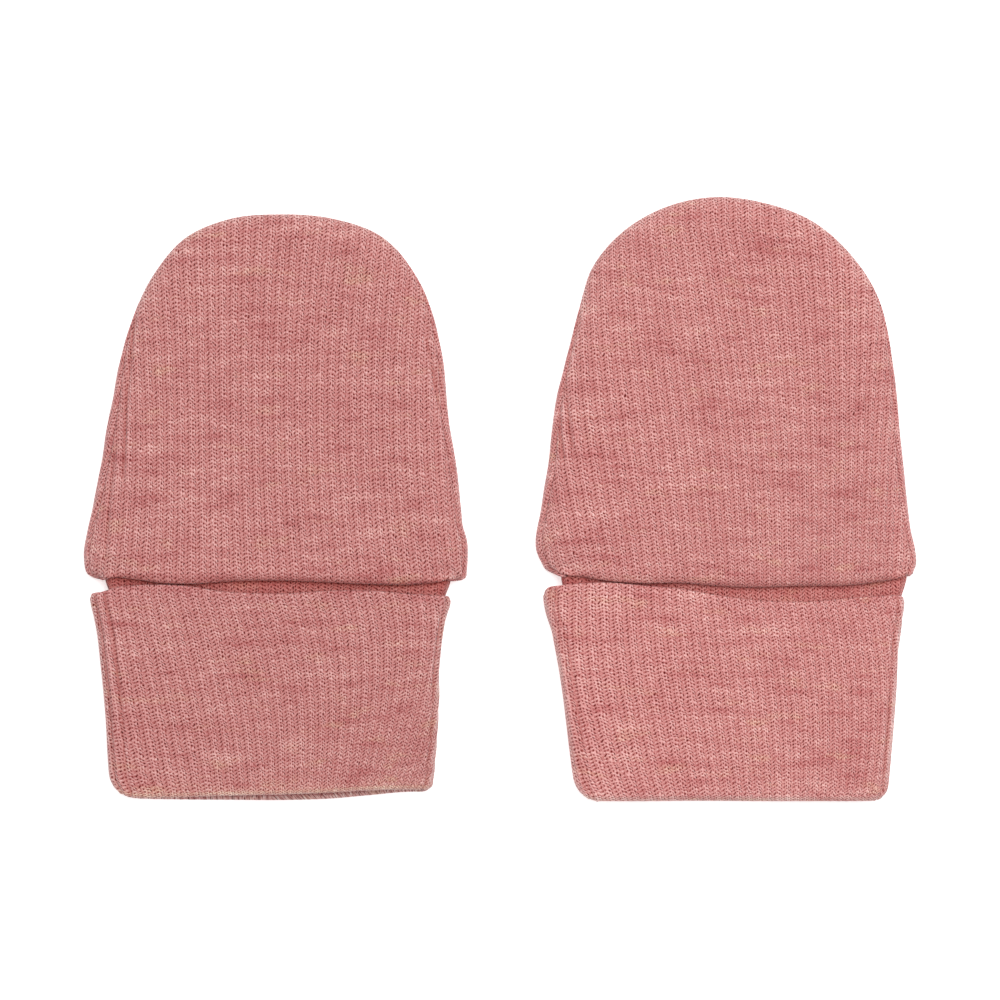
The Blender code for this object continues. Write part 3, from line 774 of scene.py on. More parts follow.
def hand_stations(mitten, sides, across):
    """Stations round a hand, the matching ones round its inner grid, and each one's seam inset."""
    outline, wrist = outline_of(mitten), wrist_of(mitten)
    low, high = (row * FINE for row in SHOULDER_ROWS)
    left, right = (row * FINE for row in mitten["corner_rows"])
    stretches = [
        evenly(outline[left : low + 1], sides), evenly(outline[low : high + 1], across),
        evenly(outline[high : right + 1], sides),
        evenly(np.vstack([outline[right:], wrist[-2::-1], outline[1 : left + 1]]), across),
    ]
    edge = np.vstack([stretch[:-1] for stretch in stretches])
    inner = MIDDLE + (edge - MIDDLE) * DRAW_IN
    seam = mitten["seam"]
    inset = np.where(
        edge[:, 0] < 0, np.interp(edge[:, 1], seam["up"], seam["left"]),
        np.interp(edge[:, 1], seam["up"], seam["right"]),
    )
    at_wrist = ease(distance(edge, outline) / WRIST_CORNER)
    return edge, inner, inset * (1 - at_wrist), at_wrist


def seam_turns(edge, inset):
    """The turn on the side's ellipse where each station's seam is, and half the seam's gap as a turn."""
    shoulder = np.interp(edge[:, 1], CROWN["up"], CROWN["shoulder"])
    rise = np.interp(edge[:, 1], CROWN["up"], CROWN["height"]) - edge_radius
    turn = np.arccos(1 - inset / shoulder)
    speed = np.hypot(shoulder * np.sin(turn), rise * np.cos(turn))
    return turn, SEAM_GAP / 2 / speed, shoulder


def beside_tube(mitten, plan):
    """How far a point is to the left or right of the flat middle of the tube inside the hand."""
    sides = mitten["sides"]
    left = np.interp(plan[..., 1], sides["up"], sides["tube_left"]) + side_radius
    right = np.interp(plan[..., 1], sides["up"], sides["tube_right"]) - side_radius
    return np.maximum(left - plan[..., 0], plan[..., 0] - right)


def swell(mitten, plan):
    """The height of the soft folds: smooth round or long mounds, added up."""
    total = np.zeros(plan.shape[:-1])
    for across, up, half_width, half_length, rise in columns(
        mitten["swells"], "across", "up", "half_width", "half_length", "rise"
    ):
        away = ((plan[..., 0] - across) / half_width) ** 2 + ((plan[..., 1] - up) / half_length) ** 2
        total += rise * np.exp(-away)
    return total


def creases(mitten, plan):
    """1 in each side crease's trough and below 0 on the ridge beside it, on the side of the middle.

    With s the distance from the trough in half-widths, it is exp(-s^2) less SIDE_RIDGE times
    exp(-(s - SIDE_RIDGE_PLACE)^2).
    """
    total = np.zeros(plan.shape[:-1])
    for line in mitten["creases"]:
        up, across = line["up"], line["across"]
        away = (plan[..., 0] - np.interp(plan[..., 1], up, across)) / CREASE_WIDTH * -np.sign(across[0])
        ends = ease((plan[..., 1] - up[0]) / CREASE_FADE) * ease((up[-1] - plan[..., 1]) / CREASE_FADE)
        ridge = np.exp(-((away - SIDE_RIDGE_PLACE) ** 2))
        total += (np.exp(-(away**2)) - SIDE_RIDGE * ridge) * ends
    return total


def side_height(mitten, plan, from_edge):
    """A quarter of an ellipse from the edge up to the crown, and over the tube's sides near the wrist."""
    height = np.interp(plan[..., 1], CROWN["up"], CROWN["height"])
    shoulder = np.interp(plan[..., 1], CROWN["up"], CROWN["shoulder"])
    share = np.clip(1 - from_edge / shoulder, 0, 1)
    side = edge_radius + (height - edge_radius) * np.sqrt(1 - share**2)
    beside = np.clip(beside_tube(mitten, plan), 0, side_radius)
    over = side_radius + np.sqrt(side_radius**2 - beside**2)
    over = over - cuff_height * ease((plan[..., 1] - TUBE_FADES) / FADE_LENGTH)
    return np.maximum(side, np.where(beside < side_radius, over, 0)), height, shoulder


def front_height(mitten, plan):
    """The sides' drop from the crown and the wrist's, joined as the fourth root of fourth powers."""
    from_edge, from_wrist = distance(plan, outline_of(mitten)), distance(plan, wrist_of(mitten))
    side, height, shoulder = side_height(mitten, plan, from_edge)
    share = np.clip(1 - from_wrist / wrist_reach, 0, 1)
    side_drop = np.maximum(height - side, 0)
    wrist_drop = (height - wrist_base) * (1 - np.sqrt(1 - share**2))
    drop = (side_drop**4 + wrist_drop**4) ** 0.25
    inside = np.clip(np.minimum(from_edge, from_wrist) / shoulder, 0, 1)
    return height - drop + swell(mitten, plan) * inside - creases(mitten, plan) * CREASE_DEPTH


for mitten in (LEFT, RIGHT):
    spots = np.array([[0.0, 60.0], [0.0, 90.0], [0.0, 120.0]]) * MM
    print(mitten["name"], "hand: heights up its middle", np.round(front_height(mitten, spots) / MM, 2), "mm")

# %% [markdown]
# ## Turned-in edges
# A seam or a folded wrist shows no cut edge: the cloth rounds over and goes in. A Bevel modifier
# could round the solid's edge, but it would also round the hidden side. So each panel's outer rings
# are drawn inwards along a quarter circle, and two more rings carry the cloth into the seam.

# %% Rounding an edge inwards
ROLL_AT_WRIST = 0.75 * MM
ROLL_AT_SEAM = 0.3 * MM
TUCKS = np.array([1.5, 0.6])[:, None, None] * MM  # how far past the roll the two hidden rings lie
RELIEF_STARTS, RELIEF_FULL = 0.4 * MM, 3.0 * MM  # along the cloth from an edge


def lengths(rings):
    """How far along the cloth each ring point is from the outermost ring."""
    steps = np.linalg.norm(np.diff(rings, axis=0), axis=-1)
    return np.concatenate([np.zeros((1, rings.shape[1])), np.cumsum(steps, axis=0)])


def turn_in(rings, at_wrist, outward):
    """The rings with their outer edge rounded inwards, and hidden rings before them.

    outward is 1 where stations and rings turn the way that makes their cross product face out.
    """
    around = np.roll(rings[0], -1, axis=0) - np.roll(rings[0], 1, axis=0)
    inward = -outward * np.cross(around, rings[1] - rings[0])
    inward /= np.linalg.norm(inward, axis=-1)[:, None]
    roll = (ROLL_AT_SEAM + (ROLL_AT_WRIST - ROLL_AT_SEAM) * at_wrist)[:, None]
    short = np.clip(roll - lengths(rings)[..., None], 0, roll)
    rounded = rings + inward * (roll - np.sqrt(roll**2 - short**2))
    return np.concatenate([rings[0] + inward * (roll + TUCKS), rounded])


def relief_share(rings, count):
    """How much of the ribs' depth each point has: none at the rings' outer edge, all further in."""
    share = np.ones(count)
    share[: rings.shape[0] * rings.shape[1]] = ease(
        (lengths(rings).ravel() - TUCKS.max() - RELIEF_STARTS) / RELIEF_FULL
    )
    return share


def unrolled(rings, outer_to_inner):
    """Where each ring point was on the flat cloth: out from the inner ring by its length along it."""
    plan = rings[..., :2]
    along = lengths(rings[::-1])[::-1]
    outward = -outer_to_inner / np.linalg.norm(outer_to_inner, axis=-1)[..., None]
    return plan[-1] + outward * along[..., None]


print(f"edges roll in by {ROLL_AT_SEAM / MM:.2f} mm at a seam and {ROLL_AT_WRIST / MM:.2f} mm at the wrist")

# %% [markdown]
# ## The hand's two panels
# The front panel shows most. It starts in the side seams, rounds over the sides and the folded
# wrist edge, and lies over the tube. The back panel lies on the table and rolls up round the sides
# to the same seams. Their relief is real geometry: each vertex is drawn in along its normal by how
# deep in a groove its address is. A bump alone could do that, but it would leave the seams flat.

# %% Hand panels
def panel_mesh(rings, flat_rings, ids, face_up):
    """Which inner grid points are new, the faces, and the flat positions of rings and inner grid."""
    count, stations = rings.shape[:2]
    last = (count - 1) * stations
    grid_ids = np.where(ids >= 0, last + np.maximum(ids, 0), 0)
    inside = ids < 0
    grid_ids[inside] = count * stations + np.arange(inside.sum())
    ring_ids = np.arange(count * stations).reshape(count, stations)
    ring_ids = np.concatenate([ring_ids, ring_ids[:, :1]], axis=1)
    faces = np.vstack([quads(ring_ids[::-1]), quads(grid_ids)])
    if not face_up:
        faces = faces[:, ::-1]
    flat = np.vstack([flat_rings.reshape(-1, 2), patch(flat_rings[-1], ids)[inside]])
    return inside, faces, flat


def rim_painted_sheen(inside):
    """Painted sheen round an outer edge, where light glances off fibres that stand up: green and blue rise as
    exp(-inside / reach).
    """
    return 1 + np.exp(-np.maximum(inside, 0) / RIM_REACH)[..., None] * RIM_PAINTED_SHEEN


def lip_painted_shade(mitten, points):
    """Painted shade where the wrist edge turns down, over the tube but not beyond its two sides."""
    level = np.interp(points[:, 0], mitten["wrist"]["across"], mitten["wrist"]["up"])
    sides = columns(mitten["sides"], "up", "tube_left", "tube_right")
    left, right = (np.interp(level, sides[:, 0], sides[:, k]) for k in (1, 2))
    over_tube = ease((points[:, 0] - left) / LIP_ENDS) * ease((right - points[:, 0]) / LIP_ENDS)
    shade = np.exp(-np.maximum(points[:, 1] - level, 0) / LIP_REACH) * over_tube
    return 1 - shade[:, None] * LIP_PAINTED_SHADE * mitten["painted_shade_share"]


FRONT_SIDES, FRONT_ACROSS, FRONT_RINGS = 96, 236, 30


def hand_front(mitten):
    """The front panel: its points, faces, addresses and dye, and the edge of its flat cut."""
    edge, inner, inset, at_wrist = hand_stations(mitten, FRONT_SIDES, FRONT_ACROSS)
    way_in = inner - edge
    reach = np.linalg.norm(way_in, axis=1)
    seam_turn, half_gap, shoulder = seam_turns(edge, inset)
    inset = shoulder * (1 - np.cos(seam_turn + half_gap)) * (1 - at_wrist)
    turn = np.linspace(0, np.pi / 2, FRONT_RINGS)[:, None]
    depth = inset + (reach - inset) * (1 - np.cos(turn))
    plan = edge + way_in * (depth / reach)[..., None]
    rings = np.concatenate([plan, front_height(mitten, plan)[..., None]], axis=-1)
    rings = turn_in(rings, at_wrist, outward=-1)
    flat_rings = unrolled(rings, way_in)
    ids = station_ids(FRONT_SIDES, FRONT_ACROSS)
    inside, faces, flat = panel_mesh(rings, flat_rings, ids, face_up=True)
    inner_plan = patch(rings[-1][:, :2], ids)[inside]
    inner_points = np.concatenate([inner_plan, front_height(mitten, inner_plan)[:, None]], axis=-1)
    points = np.vstack([rings.reshape(-1, 3), inner_points])
    address = mitten["hand_grain"](flat[:, 0], flat[:, 1])
    relief = (rib_relief(address) - 1) * RELIEF * relief_share(rings, len(points))
    points += normals(points, faces) * relief[:, None]
    # The hand's tone with painted light, painted sheen round its edge, painted shade on the wrist's lip and
    # in the creases' troughs, and painted light on their ridges.
    tone_and_painted_light = mitten["hand_tone_with_painted_light"] * rim_painted_sheen(distance(points[:, :2], outline_of(mitten)))
    tone_and_painted_light *= lip_painted_shade(mitten, points) * (1 - creases(mitten, points[:, :2])[:, None] * CREASE_PAINTED_SHADE)
    return points, faces, np.stack([address, flat[:, 1]], axis=1), tone_and_painted_light, flat_rings[0]


BACK_SIDES, BACK_ACROSS = 70, 150
ROLL_TURNS = 14
FLAT_RINGS = 6
WRIST_ROLL = 0.6 * MM  # how round the back panel's own wrist edge is
WRIST_TURN = -0.2  # and how far short of upright it stops, in radians


def hand_back(mitten):
    """The back panel: flat on the table, rolled up round the sides to the seam, and turned in there."""
    edge, inner, inset, at_wrist = hand_stations(mitten, BACK_SIDES, BACK_ACROSS)
    way_in = inner - edge
    reach = np.linalg.norm(way_in, axis=1)
    seam_turn, half_gap, shoulder = seam_turns(edge, inset)
    side = 1 - at_wrist
    radius = WRIST_ROLL + (edge_radius - WRIST_ROLL) * side
    end = (seam_turn - half_gap) * side + WRIST_TURN * at_wrist
    turn = end + (-np.pi / 2 - end) * np.linspace(0, 1, ROLL_TURNS)[:, None]
    depth = np.where(turn < 0, radius, shoulder * side + radius * (1 - side)) * (1 - np.cos(turn))
    plan = edge + way_in * (depth / reach)[..., None]
    top, _, _ = side_height(mitten, plan, distance(plan, outline_of(mitten)))
    above = radius * (1 + np.sin(turn)) * (1 - side) + np.maximum(top, radius) * side
    height = np.where(turn < 0, radius * (1 + np.sin(turn)), above)
    rolled = np.concatenate([plan, height[..., None]], axis=-1)
    share = np.linspace(0, 1, FLAT_RINGS + 1)[1:, None, None]
    on_table = np.concatenate([inner, np.zeros((len(inner), 1))], axis=1)
    flat_part = rolled[-1] + (on_table - rolled[-1]) * share
    rings = turn_in(np.concatenate([rolled, flat_part]), at_wrist * 0, outward=1)
    flat_rings = unrolled(rings, way_in)
    ids = station_ids(BACK_SIDES, BACK_ACROSS)
    inside, faces, flat = panel_mesh(rings, flat_rings, ids, face_up=False)
    points = np.vstack([rings.reshape(-1, 3), patch(rings[-1], ids)[inside]])
    points[:, 2] = np.maximum(points[:, 2], 0)
    address = flat[:, 0]
    relief = (rib_relief(address) - 1) * RELIEF * relief_share(rings, len(points))
    points += normals(points, faces) * relief[:, None]
    # The back panel's colour is its tone alone, painted light included.
    tone_and_painted_light = mitten["hand_tone_with_painted_light"] * np.ones((len(points), 3))
    return points, faces, np.stack([address, flat[:, 1]], axis=1), tone_and_painted_light, flat_rings[0]


def finish_panel(mitten, part, made):
    """Puts a panel into the scene, gives it its wall, hangs it on the root and hides its solid."""
    points, faces, addresses, tone_and_painted_light, cut = made
    node = f"{mitten['name']}_{part}"
    piece = make_piece(node + "_cloth", points, faces, addresses, mitten, tone_and_painted_light, hand_wool)
    solidify(piece, SHELL)
    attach(piece, "root")
    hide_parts(node)
    return piece


for mitten in (LEFT, RIGHT):
    finish_panel(mitten, "hand_front", hand_front(mitten))
    finish_panel(mitten, "hand_back", hand_back(mitten))

# %% [markdown]
# ## The cuffs
# A cuff is a rib tube about 100 mm long, turned up on itself, so its wall is a U in section: down
# the outer layer, round the fold and up the inner layer into the hand. Solidify could thicken one
# surface, but the turned-up edge needs to be round and the hidden rows can be coarse. So the whole
# outline of the wall, both faces and both rims, is one closed profile, and it is carried round the
# flattened tube: across the front, round the right side, behind and round the left side.

# %% The cuff's profile
CUFF_WALL = 0.9 * MM
FOLD_RELIEF = 0.2  # the share of the ribs' depth that is left round the fold
CORNER_SPREAD = 6.0 * MM  # how far in the cloth still leans towards a round corner
FULLER = 0.75  # the edge's own rounding would flatten a corner, so it is filled by this share of it
HALF_CORNER = 1 - np.sqrt(0.5)  # where a round corner is halfway through its turn, in radii


def cuff_profile():
    """The wall's outline as rows of layer (0 outer, 1 inner), share, fold turn, face and rim turn.

    The share runs from the cuff's edge (0) to the fold (1) on the outer layer, and from the fold (0)
    to the tube's end (1) on the inner one. The fold's turn goes from 0 to pi. The face is 1 on the
    outside of the U and -1 on its inside, and the rim's turn goes from 0 to pi where they meet.
    """
    near_edge = np.array([0.0, 0.004, 0.01, 0.02])
    down = np.concatenate([near_edge, np.linspace(0.035, 1.0, 58)])
    fold = np.linspace(0, np.pi, 15)[1:-1]
    up_hidden = np.linspace(0, 1, 10)
    rim = np.linspace(0, np.pi, 9)[1:-1]
    strip = np.concatenate([np.linspace(1.0, 0.93, 4), np.linspace(0.92, 0.74, 28), np.linspace(0.7, 0.0, 8)])
    rows = [(0, s, 0, 1, 0) for s in down]
    rows += [(0, 1, t, 1, 0) for t in fold]
    rows += [(1, s, np.pi, 1, 0) for s in up_hidden]
    rows += [(1, 1, np.pi, 1, t) for t in rim[::2]]
    rows += [(1, s, np.pi, -1, 0) for s in strip]
    rows += [(0, 1, t, -1, 0) for t in fold[::-3]]
    rows += [(0, s, 0, -1, 0) for s in np.concatenate([np.linspace(1, 0.1, 7), near_edge[::-1]])]
    rows += [(0, 0, 0, -1, t) for t in rim]
    return np.array(rows, dtype=float)


print("rows in the outline of a cuff's wall:", len(cuff_profile()))

# %% [markdown]
# ## Carrying the profile round the tube
# A mitten's cuff is knitted or sewn as a tube and lies flat with two rounded sides. Sweeping the
# profile along a closed curve would do it in the viewport, but each side slopes in its own way and
# each edge waves. So the profile is carried by numpy: across by shares of the flat width, round the
# sides by an angle, and up by the waves of the two edges, with round corners where they meet.

# %% Stations round the tube
FRONT_STEPS, SIDE_STEPS, BEHIND_STEPS = 250, 28, 130


def tube_stations():
    """Round the tube from the middle of its back: share of the half-width, angle, and front share."""
    behind = np.linspace(0, -1, BEHIND_STEPS // 2 + 1)
    left = np.linspace(-np.pi / 2, np.pi / 2, SIDE_STEPS + 1)
    front = np.linspace(-1, 1, FRONT_STEPS + 1)
    at_left = np.full(SIDE_STEPS, -1.0)
    share = np.concatenate([behind[:-1], at_left, front[:-1], -at_left, -behind[::-1]])
    angle = np.concatenate([
        np.full(len(behind) - 1, -np.pi / 2), left[:-1], np.full(FRONT_STEPS, np.pi / 2), left[:0:-1],
        np.full(len(behind), -np.pi / 2),
    ])
    return share, angle, (1 + np.sin(angle)) / 2


print("stations round a cuff:", len(tube_stations()[0]) - 1)

# %% The two edges of a cuff and their corners
fold_depth = wall + GAP / 2  # from the outside of the U to the middle of its gap
fold_radius = (wall + GAP) / 2  # of the fold, in the middle of the wall
EDGE_LEVEL = 45.0 * MM  # near enough to the turned-up edge to find the sides there


def side_lines(sides, level, first):
    """Where the left and the right side are at a level, from two neighbouring columns of the sides."""
    return [np.interp(level, sides[:, 0], sides[:, first + k]) for k in (0, 1)]


def inwards(share, angle, flat_half):
    """How far a station is from the nearer side: along the flat part, and in with the round one."""
    return (1 - np.abs(share)) * flat_half + side_radius * (1 - np.cos(angle))


def cut_back(radius, inside):
    """How far a round corner is cut back at a distance inside its side: none from one radius in."""
    return radius - np.sqrt(radius**2 - np.clip(radius - inside, 0, radius * (1 - HALF_CORNER)) ** 2)


def cuff_edges(mitten, sides, share, angle, front):
    """The turned-up edge and the fold: their lines, their corners' radii and how far those cut back."""
    lines, cuts, radii = {}, {}, {}
    for key, level, rounding in (("top", EDGE_LEVEL, CUFF_WALL / 2), ("fold", 0.0, fold_depth)):
        rows = smooth(columns(mitten["edges"], "across", key, key + "_behind"))
        left, right = side_lines(sides, level, 1)
        flat_half = (right - left) / 2 - side_radius
        across = (left + right) / 2 + share * flat_half
        before, behind = (np.interp(across, rows[:, 0], rows[:, k]) for k in (1, 2))
        lines[key] = behind + (before - behind) * front
        from_side = inwards(share, angle, flat_half)
        radii[key] = np.where(share > 0, *mitten["corners"][key][::-1])
        lean = HALF_CORNER * radii[key] * np.exp(-from_side / CORNER_SPREAD)
        lean = lean + FULLER * rounding * np.cos(angle)
        cuts[key] = cut_back(radii[key], from_side + lean)
    return lines, cuts, radii


print(f"a 5 mm corner is cut back by {cut_back(5 * MM, 0.0) / MM:.2f} mm at its side")

# %% The wall of a cuff
def tube_wall(mitten):
    """Where every point of a cuff's wall is, and what the next steps ask about it.

    In section, a point is at a height up the mitten and a depth in from the outside of the U. At a
    station, the depth shrinks the round side from side_radius, and the corners draw the cloth in.
    """
    share, angle, front = (s[None, :] for s in tube_stations())
    layer, along, turn, face, rim = (column[:, None] for column in cuff_profile().T)
    sides = smooth(columns(mitten["sides"], "up", "left", "right", "tube_left", "tube_right"))
    lines, cuts, radii = cuff_edges(mitten, sides, share, angle, front)
    bottom, top = lines["fold"] + cuts["fold"], lines["top"] - cuts["top"]

    inner, folded = layer == 1, (turn > 0) & (turn < np.pi)
    centre = bottom + fold_depth
    up_row = np.where(inner, centre + (tube_end - centre) * along, top + (centre - top) * along)
    facing = face * np.cos(rim) * CUFF_WALL / 2
    up = np.where(folded, centre - (fold_radius + facing) * np.sin(turn), up_row)
    up = up + np.sin(rim) * CUFF_WALL / 2
    depth = fold_depth - (fold_radius + facing) * np.cos(turn)

    left, right = np.where(inner, side_lines(sides, up, 3), side_lines(sides, up, 1))
    flat_half, middle = (right - left) / 2 - side_radius, (left + right) / 2
    from_side = inwards(share, angle, flat_half)
    drawn = cut_back(radii["fold"], up - lines["fold"])
    drawn = drawn + cut_back(radii["top"], lines["top"] - up) * (1 - inner)
    drawn = drawn * np.exp(-from_side / CORNER_SPREAD)
    x = middle + share * flat_half + np.sign(share) * ((side_radius - depth) * np.cos(angle) - drawn)
    z = side_radius + (side_radius - depth) * np.sin(angle)
    return SimpleNamespace(
        share=share, angle=angle, front=front, inner=inner, folded=folded, turn=turn, face=face,
        rim=rim, bottom=bottom, top=top, centre=centre, flat_half=flat_half, middle=middle,
        from_side=from_side, x=x, up=up, z=z,
    )


print("points of a cuff's wall:", tube_wall(LEFT).x.size)

# %% [markdown]
# ## The cuff's cloth on its wall
# The ribs must run on from the front round each side to the back, and along the U from the outer
# layer to the inner one. An unwrap could cut the cloth where it shows. So the address goes by
# the length round the tube, which is folded over at each side, and by the length along the wall, and
# the only cut is in the middle of the back.

# %% Addresses on a cuff
SIDE_MARGIN = 1e-9  # tells the turns of the round sides from the flat stations beside them


def cuff_address(mitten, tube):
    """How far across the cloth each point is, by its length round the tube.

    Past half way round, the address is twice the side's own less that of the same place in front.
    """
    half_round = tube.flat_half + np.pi * side_radius / 2
    sign, flat = np.sign(tube.share), np.abs(tube.share) * tube.flat_half
    round_tube = np.where(
        np.abs(tube.angle) < np.pi / 2 - SIDE_MARGIN,
        sign * (tube.flat_half + (np.pi / 2 - tube.angle) * side_radius),
        np.where(tube.angle > 0, tube.share * tube.flat_half, sign * (2 * half_round - flat)),
    )
    round_tube[:, 0] = -2 * half_round[:, 0]
    round_tube[:, -1] = 2 * half_round[:, -1]
    beyond = np.abs(round_tube) > half_round
    near = np.where(beyond, np.sign(round_tube) * 2 * half_round - round_tube, round_tube)
    level = np.broadcast_to(tube.up, near.shape)
    address = mitten["cuff_grain"](tube.middle + near, level)
    at_side = mitten["cuff_grain"](tube.middle + np.sign(round_tube) * half_round, level)
    return np.where(beyond, 2 * at_side - address, address)


def corner_addresses(tube, address):
    """Both addresses at every corner of every face, so that the closing faces don't run backwards."""
    down_cloth = np.where(
        tube.inner, tube.centre - tube.up - fold_radius * np.pi,
        tube.up - tube.centre - fold_radius * tube.turn,
    )
    wide = np.stack([address, down_cloth], axis=-1)
    wide = np.concatenate([wide, wide[-1:]], axis=0)
    corners = [wide[1:, :-1], wide[1:, 1:], wide[:-1, 1:], wide[:-1, :-1]]
    return np.stack(corners, axis=2).reshape(-1, 2)


def closed_faces(rows, count):
    """The faces of a grid that closes both round the tube and round the wall's outline."""
    ids = np.arange(rows * count).reshape(rows, count)
    ids = np.concatenate([ids, ids[:, :1]], axis=1)
    return quads(np.concatenate([ids, ids[:1]], axis=0))[:, ::-1]


def cuff_cut(tube):
    """The flat cloth: the length round the tube, and along both layers and half round the fold."""
    around = (4 * tube.flat_half + 2 * np.pi * side_radius).mean()
    along = (tube.top + tube_end - 2 * tube.centre).mean() + np.pi * fold_radius
    return float(around), float(along)


print("faces of a cuff:", len(closed_faces(len(cuff_profile()), len(tube_stations()[0]) - 1)))

# %% [markdown]
# ## Ribs, creases and shade on a cuff
# The cuff's ribs are pressed flatter round the fold and near its two ends, and steep creases run
# beside its sides. Its strip beside the hand lies in the hand's shade, which is painted into the
# colour as darker, redder wool, like the shade in the creases and the sheen on the rims. These could
# be painted on by hand, but formulas of the distance from the fold, the side and the edge put them
# in the same place on the shape and in the colour.

# %% Relief and dye of a cuff
FOLD_FADE = 3.0 * MM  # over this, the ribs rise again beside the fold
STRIP_SHADE_FADE = 1.0 * MM  # below the turned-up edge, the strip's painted shade fades in over this


def cuff_creases(mitten, tube):
    """1 in each trough pressed in beside a cuff's side, and below 0 on the low ridges to both sides."""
    total = np.zeros_like(tube.from_side)
    height = tube.up / tube.top
    for side, at_fold, at_edge in mitten["cuff_creases"]:
        away = (tube.from_side - (at_fold + (at_edge - at_fold) * height) * MM) / CREASE_WIDTH
        ridges = np.exp(-((away - CUFF_RIDGE_PLACE) ** 2)) + np.exp(-((away + CUFF_RIDGE_PLACE) ** 2))
        total += (np.exp(-(away**2)) - CUFF_RIDGE * ridges) * (np.sign(tube.share) == side)
    return total * ((tube.angle > 0) & ~tube.inner & (tube.face > 0))


def cuff_relief(tube, address, pressed):
    """How far each point is moved along its normal: down into a groove, and into a crease."""
    inside_face = (tube.face < 0) & (tube.rim == 0)
    from_fold = np.where(tube.folded, 0.0, np.abs(tube.up - tube.centre))
    from_rim = np.where(tube.inner, tube_end - tube.up, tube.top - tube.up)
    shown = FOLD_RELIEF + (1 - FOLD_RELIEF) * ease(from_fold / FOLD_FADE)
    shown = shown * ease((from_rim + RELIEF_STARTS) / RELIEF_FULL)
    relief = (rib_relief(address + np.where(inside_face, RIB / 2, 0.0)) - 1) * RELIEF * shown
    return relief - pressed * CREASE_DEPTH


def cuff_tone_and_painted_light(mitten, tube, pressed):
    """The colour over the wool's own: the cuff's tone with painted light, painted shade, darker and redder,
    in the strip under the hand and in the creases, painted sheen at the rims, and a paler fold.
    """
    # Painted shade: the inner layer's strip below the turned-up edge is darker and redder, most of all just
    # under the hand's fold.
    strip_shade = tube.inner * (tube.face < 0) * ease((tube.up - tube.top + STRIP_SHADE_FADE) / STRIP_SHADE_FADE)
    below_hand = np.interp(tube.x, mitten["wrist"]["across"], mitten["wrist"]["up"]) - tube.up
    under = np.exp(-np.maximum(below_hand, 0) / UNDER_FOLD)[..., None]
    shade = 1 + (STRIP_PAINTED_SHADE - 1) * strip_shade[..., None] * mitten["painted_shade_share"] * (1 + under)
    # Painted sheen round the outer rims; the front of the fold is paler by fold_pale.
    from_bottom = np.where(tube.folded, 0.0, tube.up - tube.bottom)
    at_fold = np.exp(-np.maximum(from_bottom, 0) / RIM_REACH) * np.maximum(np.cos(tube.turn), 0)
    pale = rim_painted_sheen(np.minimum(tube.from_side, from_bottom)) - 1
    pale = (pale + (at_fold * tube.front)[..., None] * mitten["fold_pale"]) * (tube.face > 0)[..., None]
    # Painted shade in the creases' troughs and painted light on their ridges, times the cuff's tone with its
    # painted light, painted shade and sheen.
    tone_and_painted_light = mitten["cuff_tone_with_painted_light"] * shade * (1 - pressed[..., None] * CREASE_PAINTED_SHADE) * (1 + pale)
    return tone_and_painted_light[:, :-1].reshape(-1, 3)


print(f"ribs keep {FOLD_RELIEF:.0%} of their depth round the fold")

# %% The two cuffs
def cuff(mitten):
    """A cuff's points, faces, corner addresses and dye, and the size of its flat cloth."""
    tube = tube_wall(mitten)
    address, pressed = cuff_address(mitten, tube), cuff_creases(mitten, tube)
    points = np.stack([tube.x, tube.up, tube.z], axis=-1)[:, :-1]
    faces = closed_faces(*points.shape[:2])
    points = points.reshape(-1, 3)
    relief = cuff_relief(tube, address, pressed)[:, :-1].reshape(-1, 1)
    points = points + normals(points, faces) * relief
    return points, faces, corner_addresses(tube, address), cuff_tone_and_painted_light(mitten, tube, pressed), cuff_cut(tube)


for mitten in (LEFT, RIGHT):
    points, faces, addresses, tone_and_painted_light, cut = cuff(mitten)
    node = mitten["name"] + "_cuff"
    piece = make_piece(node + "_cloth", points, faces, addresses, mitten, tone_and_painted_light, cuff_wool)
    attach(piece, "root")
    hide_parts(node)
    print(f"{node}: {len(faces)} faces, cut {cut[0] / MM:.1f} x {cut[1] / MM:.1f} mm")

# %% [markdown]
# ## Table, light and camera
# The mittens lie on a plain white table in soft light, seen from straight above. A dome of light
# alone would leave the ribs flat, so a large soft lamp beyond the fingertips adds a little shade
# below each fold.

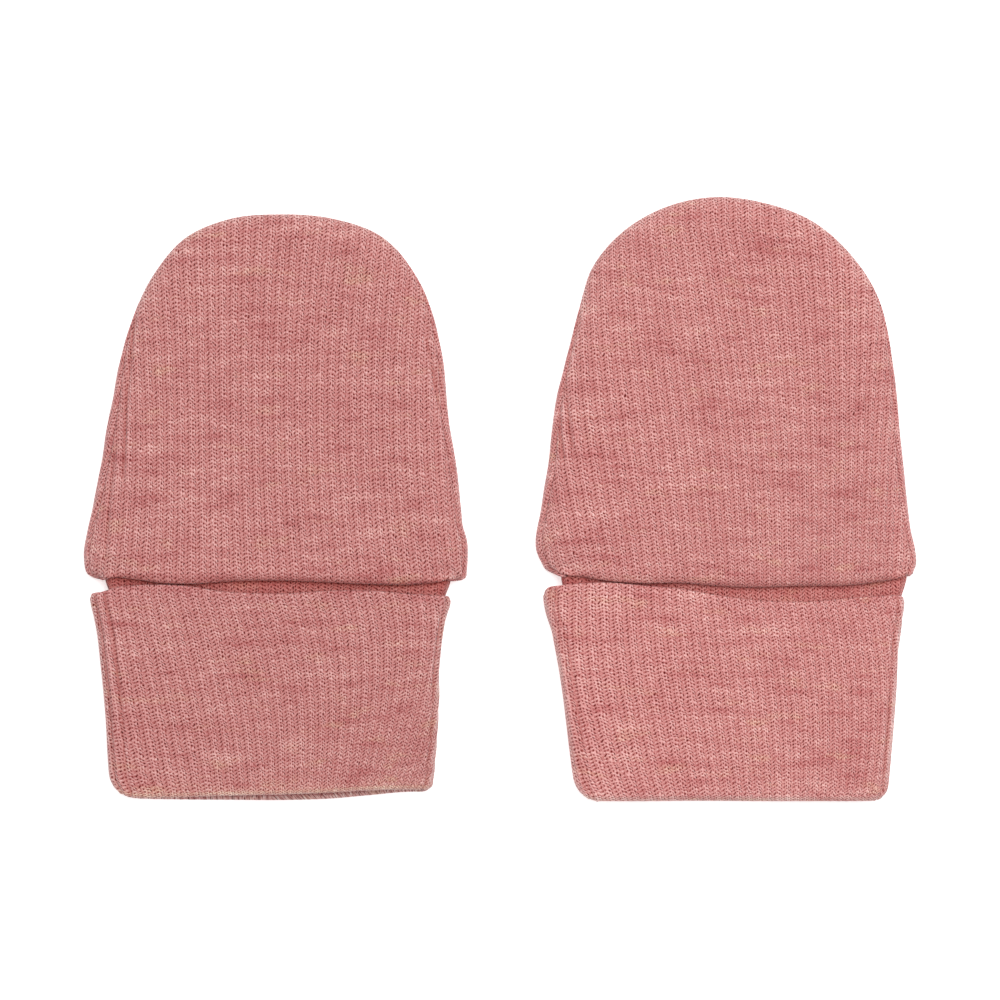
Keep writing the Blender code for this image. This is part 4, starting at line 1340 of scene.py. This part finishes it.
# %% Table, light and camera
TABLE_SIZE = 1.6
VIEW_WIDTH = 222.2 * MM
CAMERA_HEIGHT = 2.0
CAMERA_PLACE = (0.06 * MM, -0.1 * MM, CAMERA_HEIGHT)
TABLE_WHITE, TABLE_ROUGHNESS, TABLE_GLOW = 0.93, 0.9, 0.5
TABLE_DROP = 0.05 * MM  # keeps the table just clear of the cloth
LAMP_PLACE, LAMP_SIZE, LAMP_POWER = (0.25, 0.5, 1.2), 0.9, 11.5
DOME_STRENGTH = 0.70


def plain_table():
    """A white square just under z = 0, with a glow of its own so that it stays white in the lamp's light."""
    half = TABLE_SIZE / 2
    corners = [(-half, -half, 0), (half, -half, 0), (half, half, 0), (-half, half, 0)]
    mesh = bpy.data.meshes.new("table")
    mesh.from_pydata(corners, [], [(0, 1, 2, 3)])
    paint = bpy.data.materials.new("white_table")
    paint.use_nodes = True
    shader = paint.node_tree.nodes["Principled BSDF"]
    shader.inputs["Base Color"].default_value = (TABLE_WHITE, TABLE_WHITE, TABLE_WHITE, 1)
    shader.inputs["Roughness"].default_value = TABLE_ROUGHNESS
    shader.inputs["Emission Color"].default_value = (1, 1, 1, 1)
    shader.inputs["Emission Strength"].default_value = TABLE_GLOW
    mesh.materials.append(paint)
    piece = bpy.data.objects.new("table", mesh)
    piece.location.z = -TABLE_DROP
    bpy.context.scene.collection.objects.link(piece)


def soft_lamp(name, place, size, power):
    """A square area lamp that points at the middle of the pair."""
    light = bpy.data.lights.new(name, "AREA")
    light.size, light.energy = size, power
    lamp = bpy.data.objects.new(name, light)
    lamp.location = place
    lamp.rotation_euler = (-lamp.location).to_track_quat("-Z", "Y").to_euler()
    bpy.context.scene.collection.objects.link(lamp)


plain_table()
soft_lamp("window", LAMP_PLACE, LAMP_SIZE, LAMP_POWER)
world = bpy.data.worlds.new("soft_dome")
world.use_nodes = True
world.node_tree.nodes["Background"].inputs["Color"].default_value = (1, 1, 1, 1)
world.node_tree.nodes["Background"].inputs["Strength"].default_value = DOME_STRENGTH
bpy.context.scene.world = world
bpy.context.scene.view_settings.view_transform = "Standard"

camera = bpy.data.objects.new("camera", bpy.data.cameras.new("camera"))
camera.location = CAMERA_PLACE
camera.data.lens = camera.data.sensor_width * CAMERA_HEIGHT / VIEW_WIDTH
bpy.context.scene.collection.objects.link(camera)
bpy.context.scene.camera = camera
print(f"lens {camera.data.lens:.0f} mm")
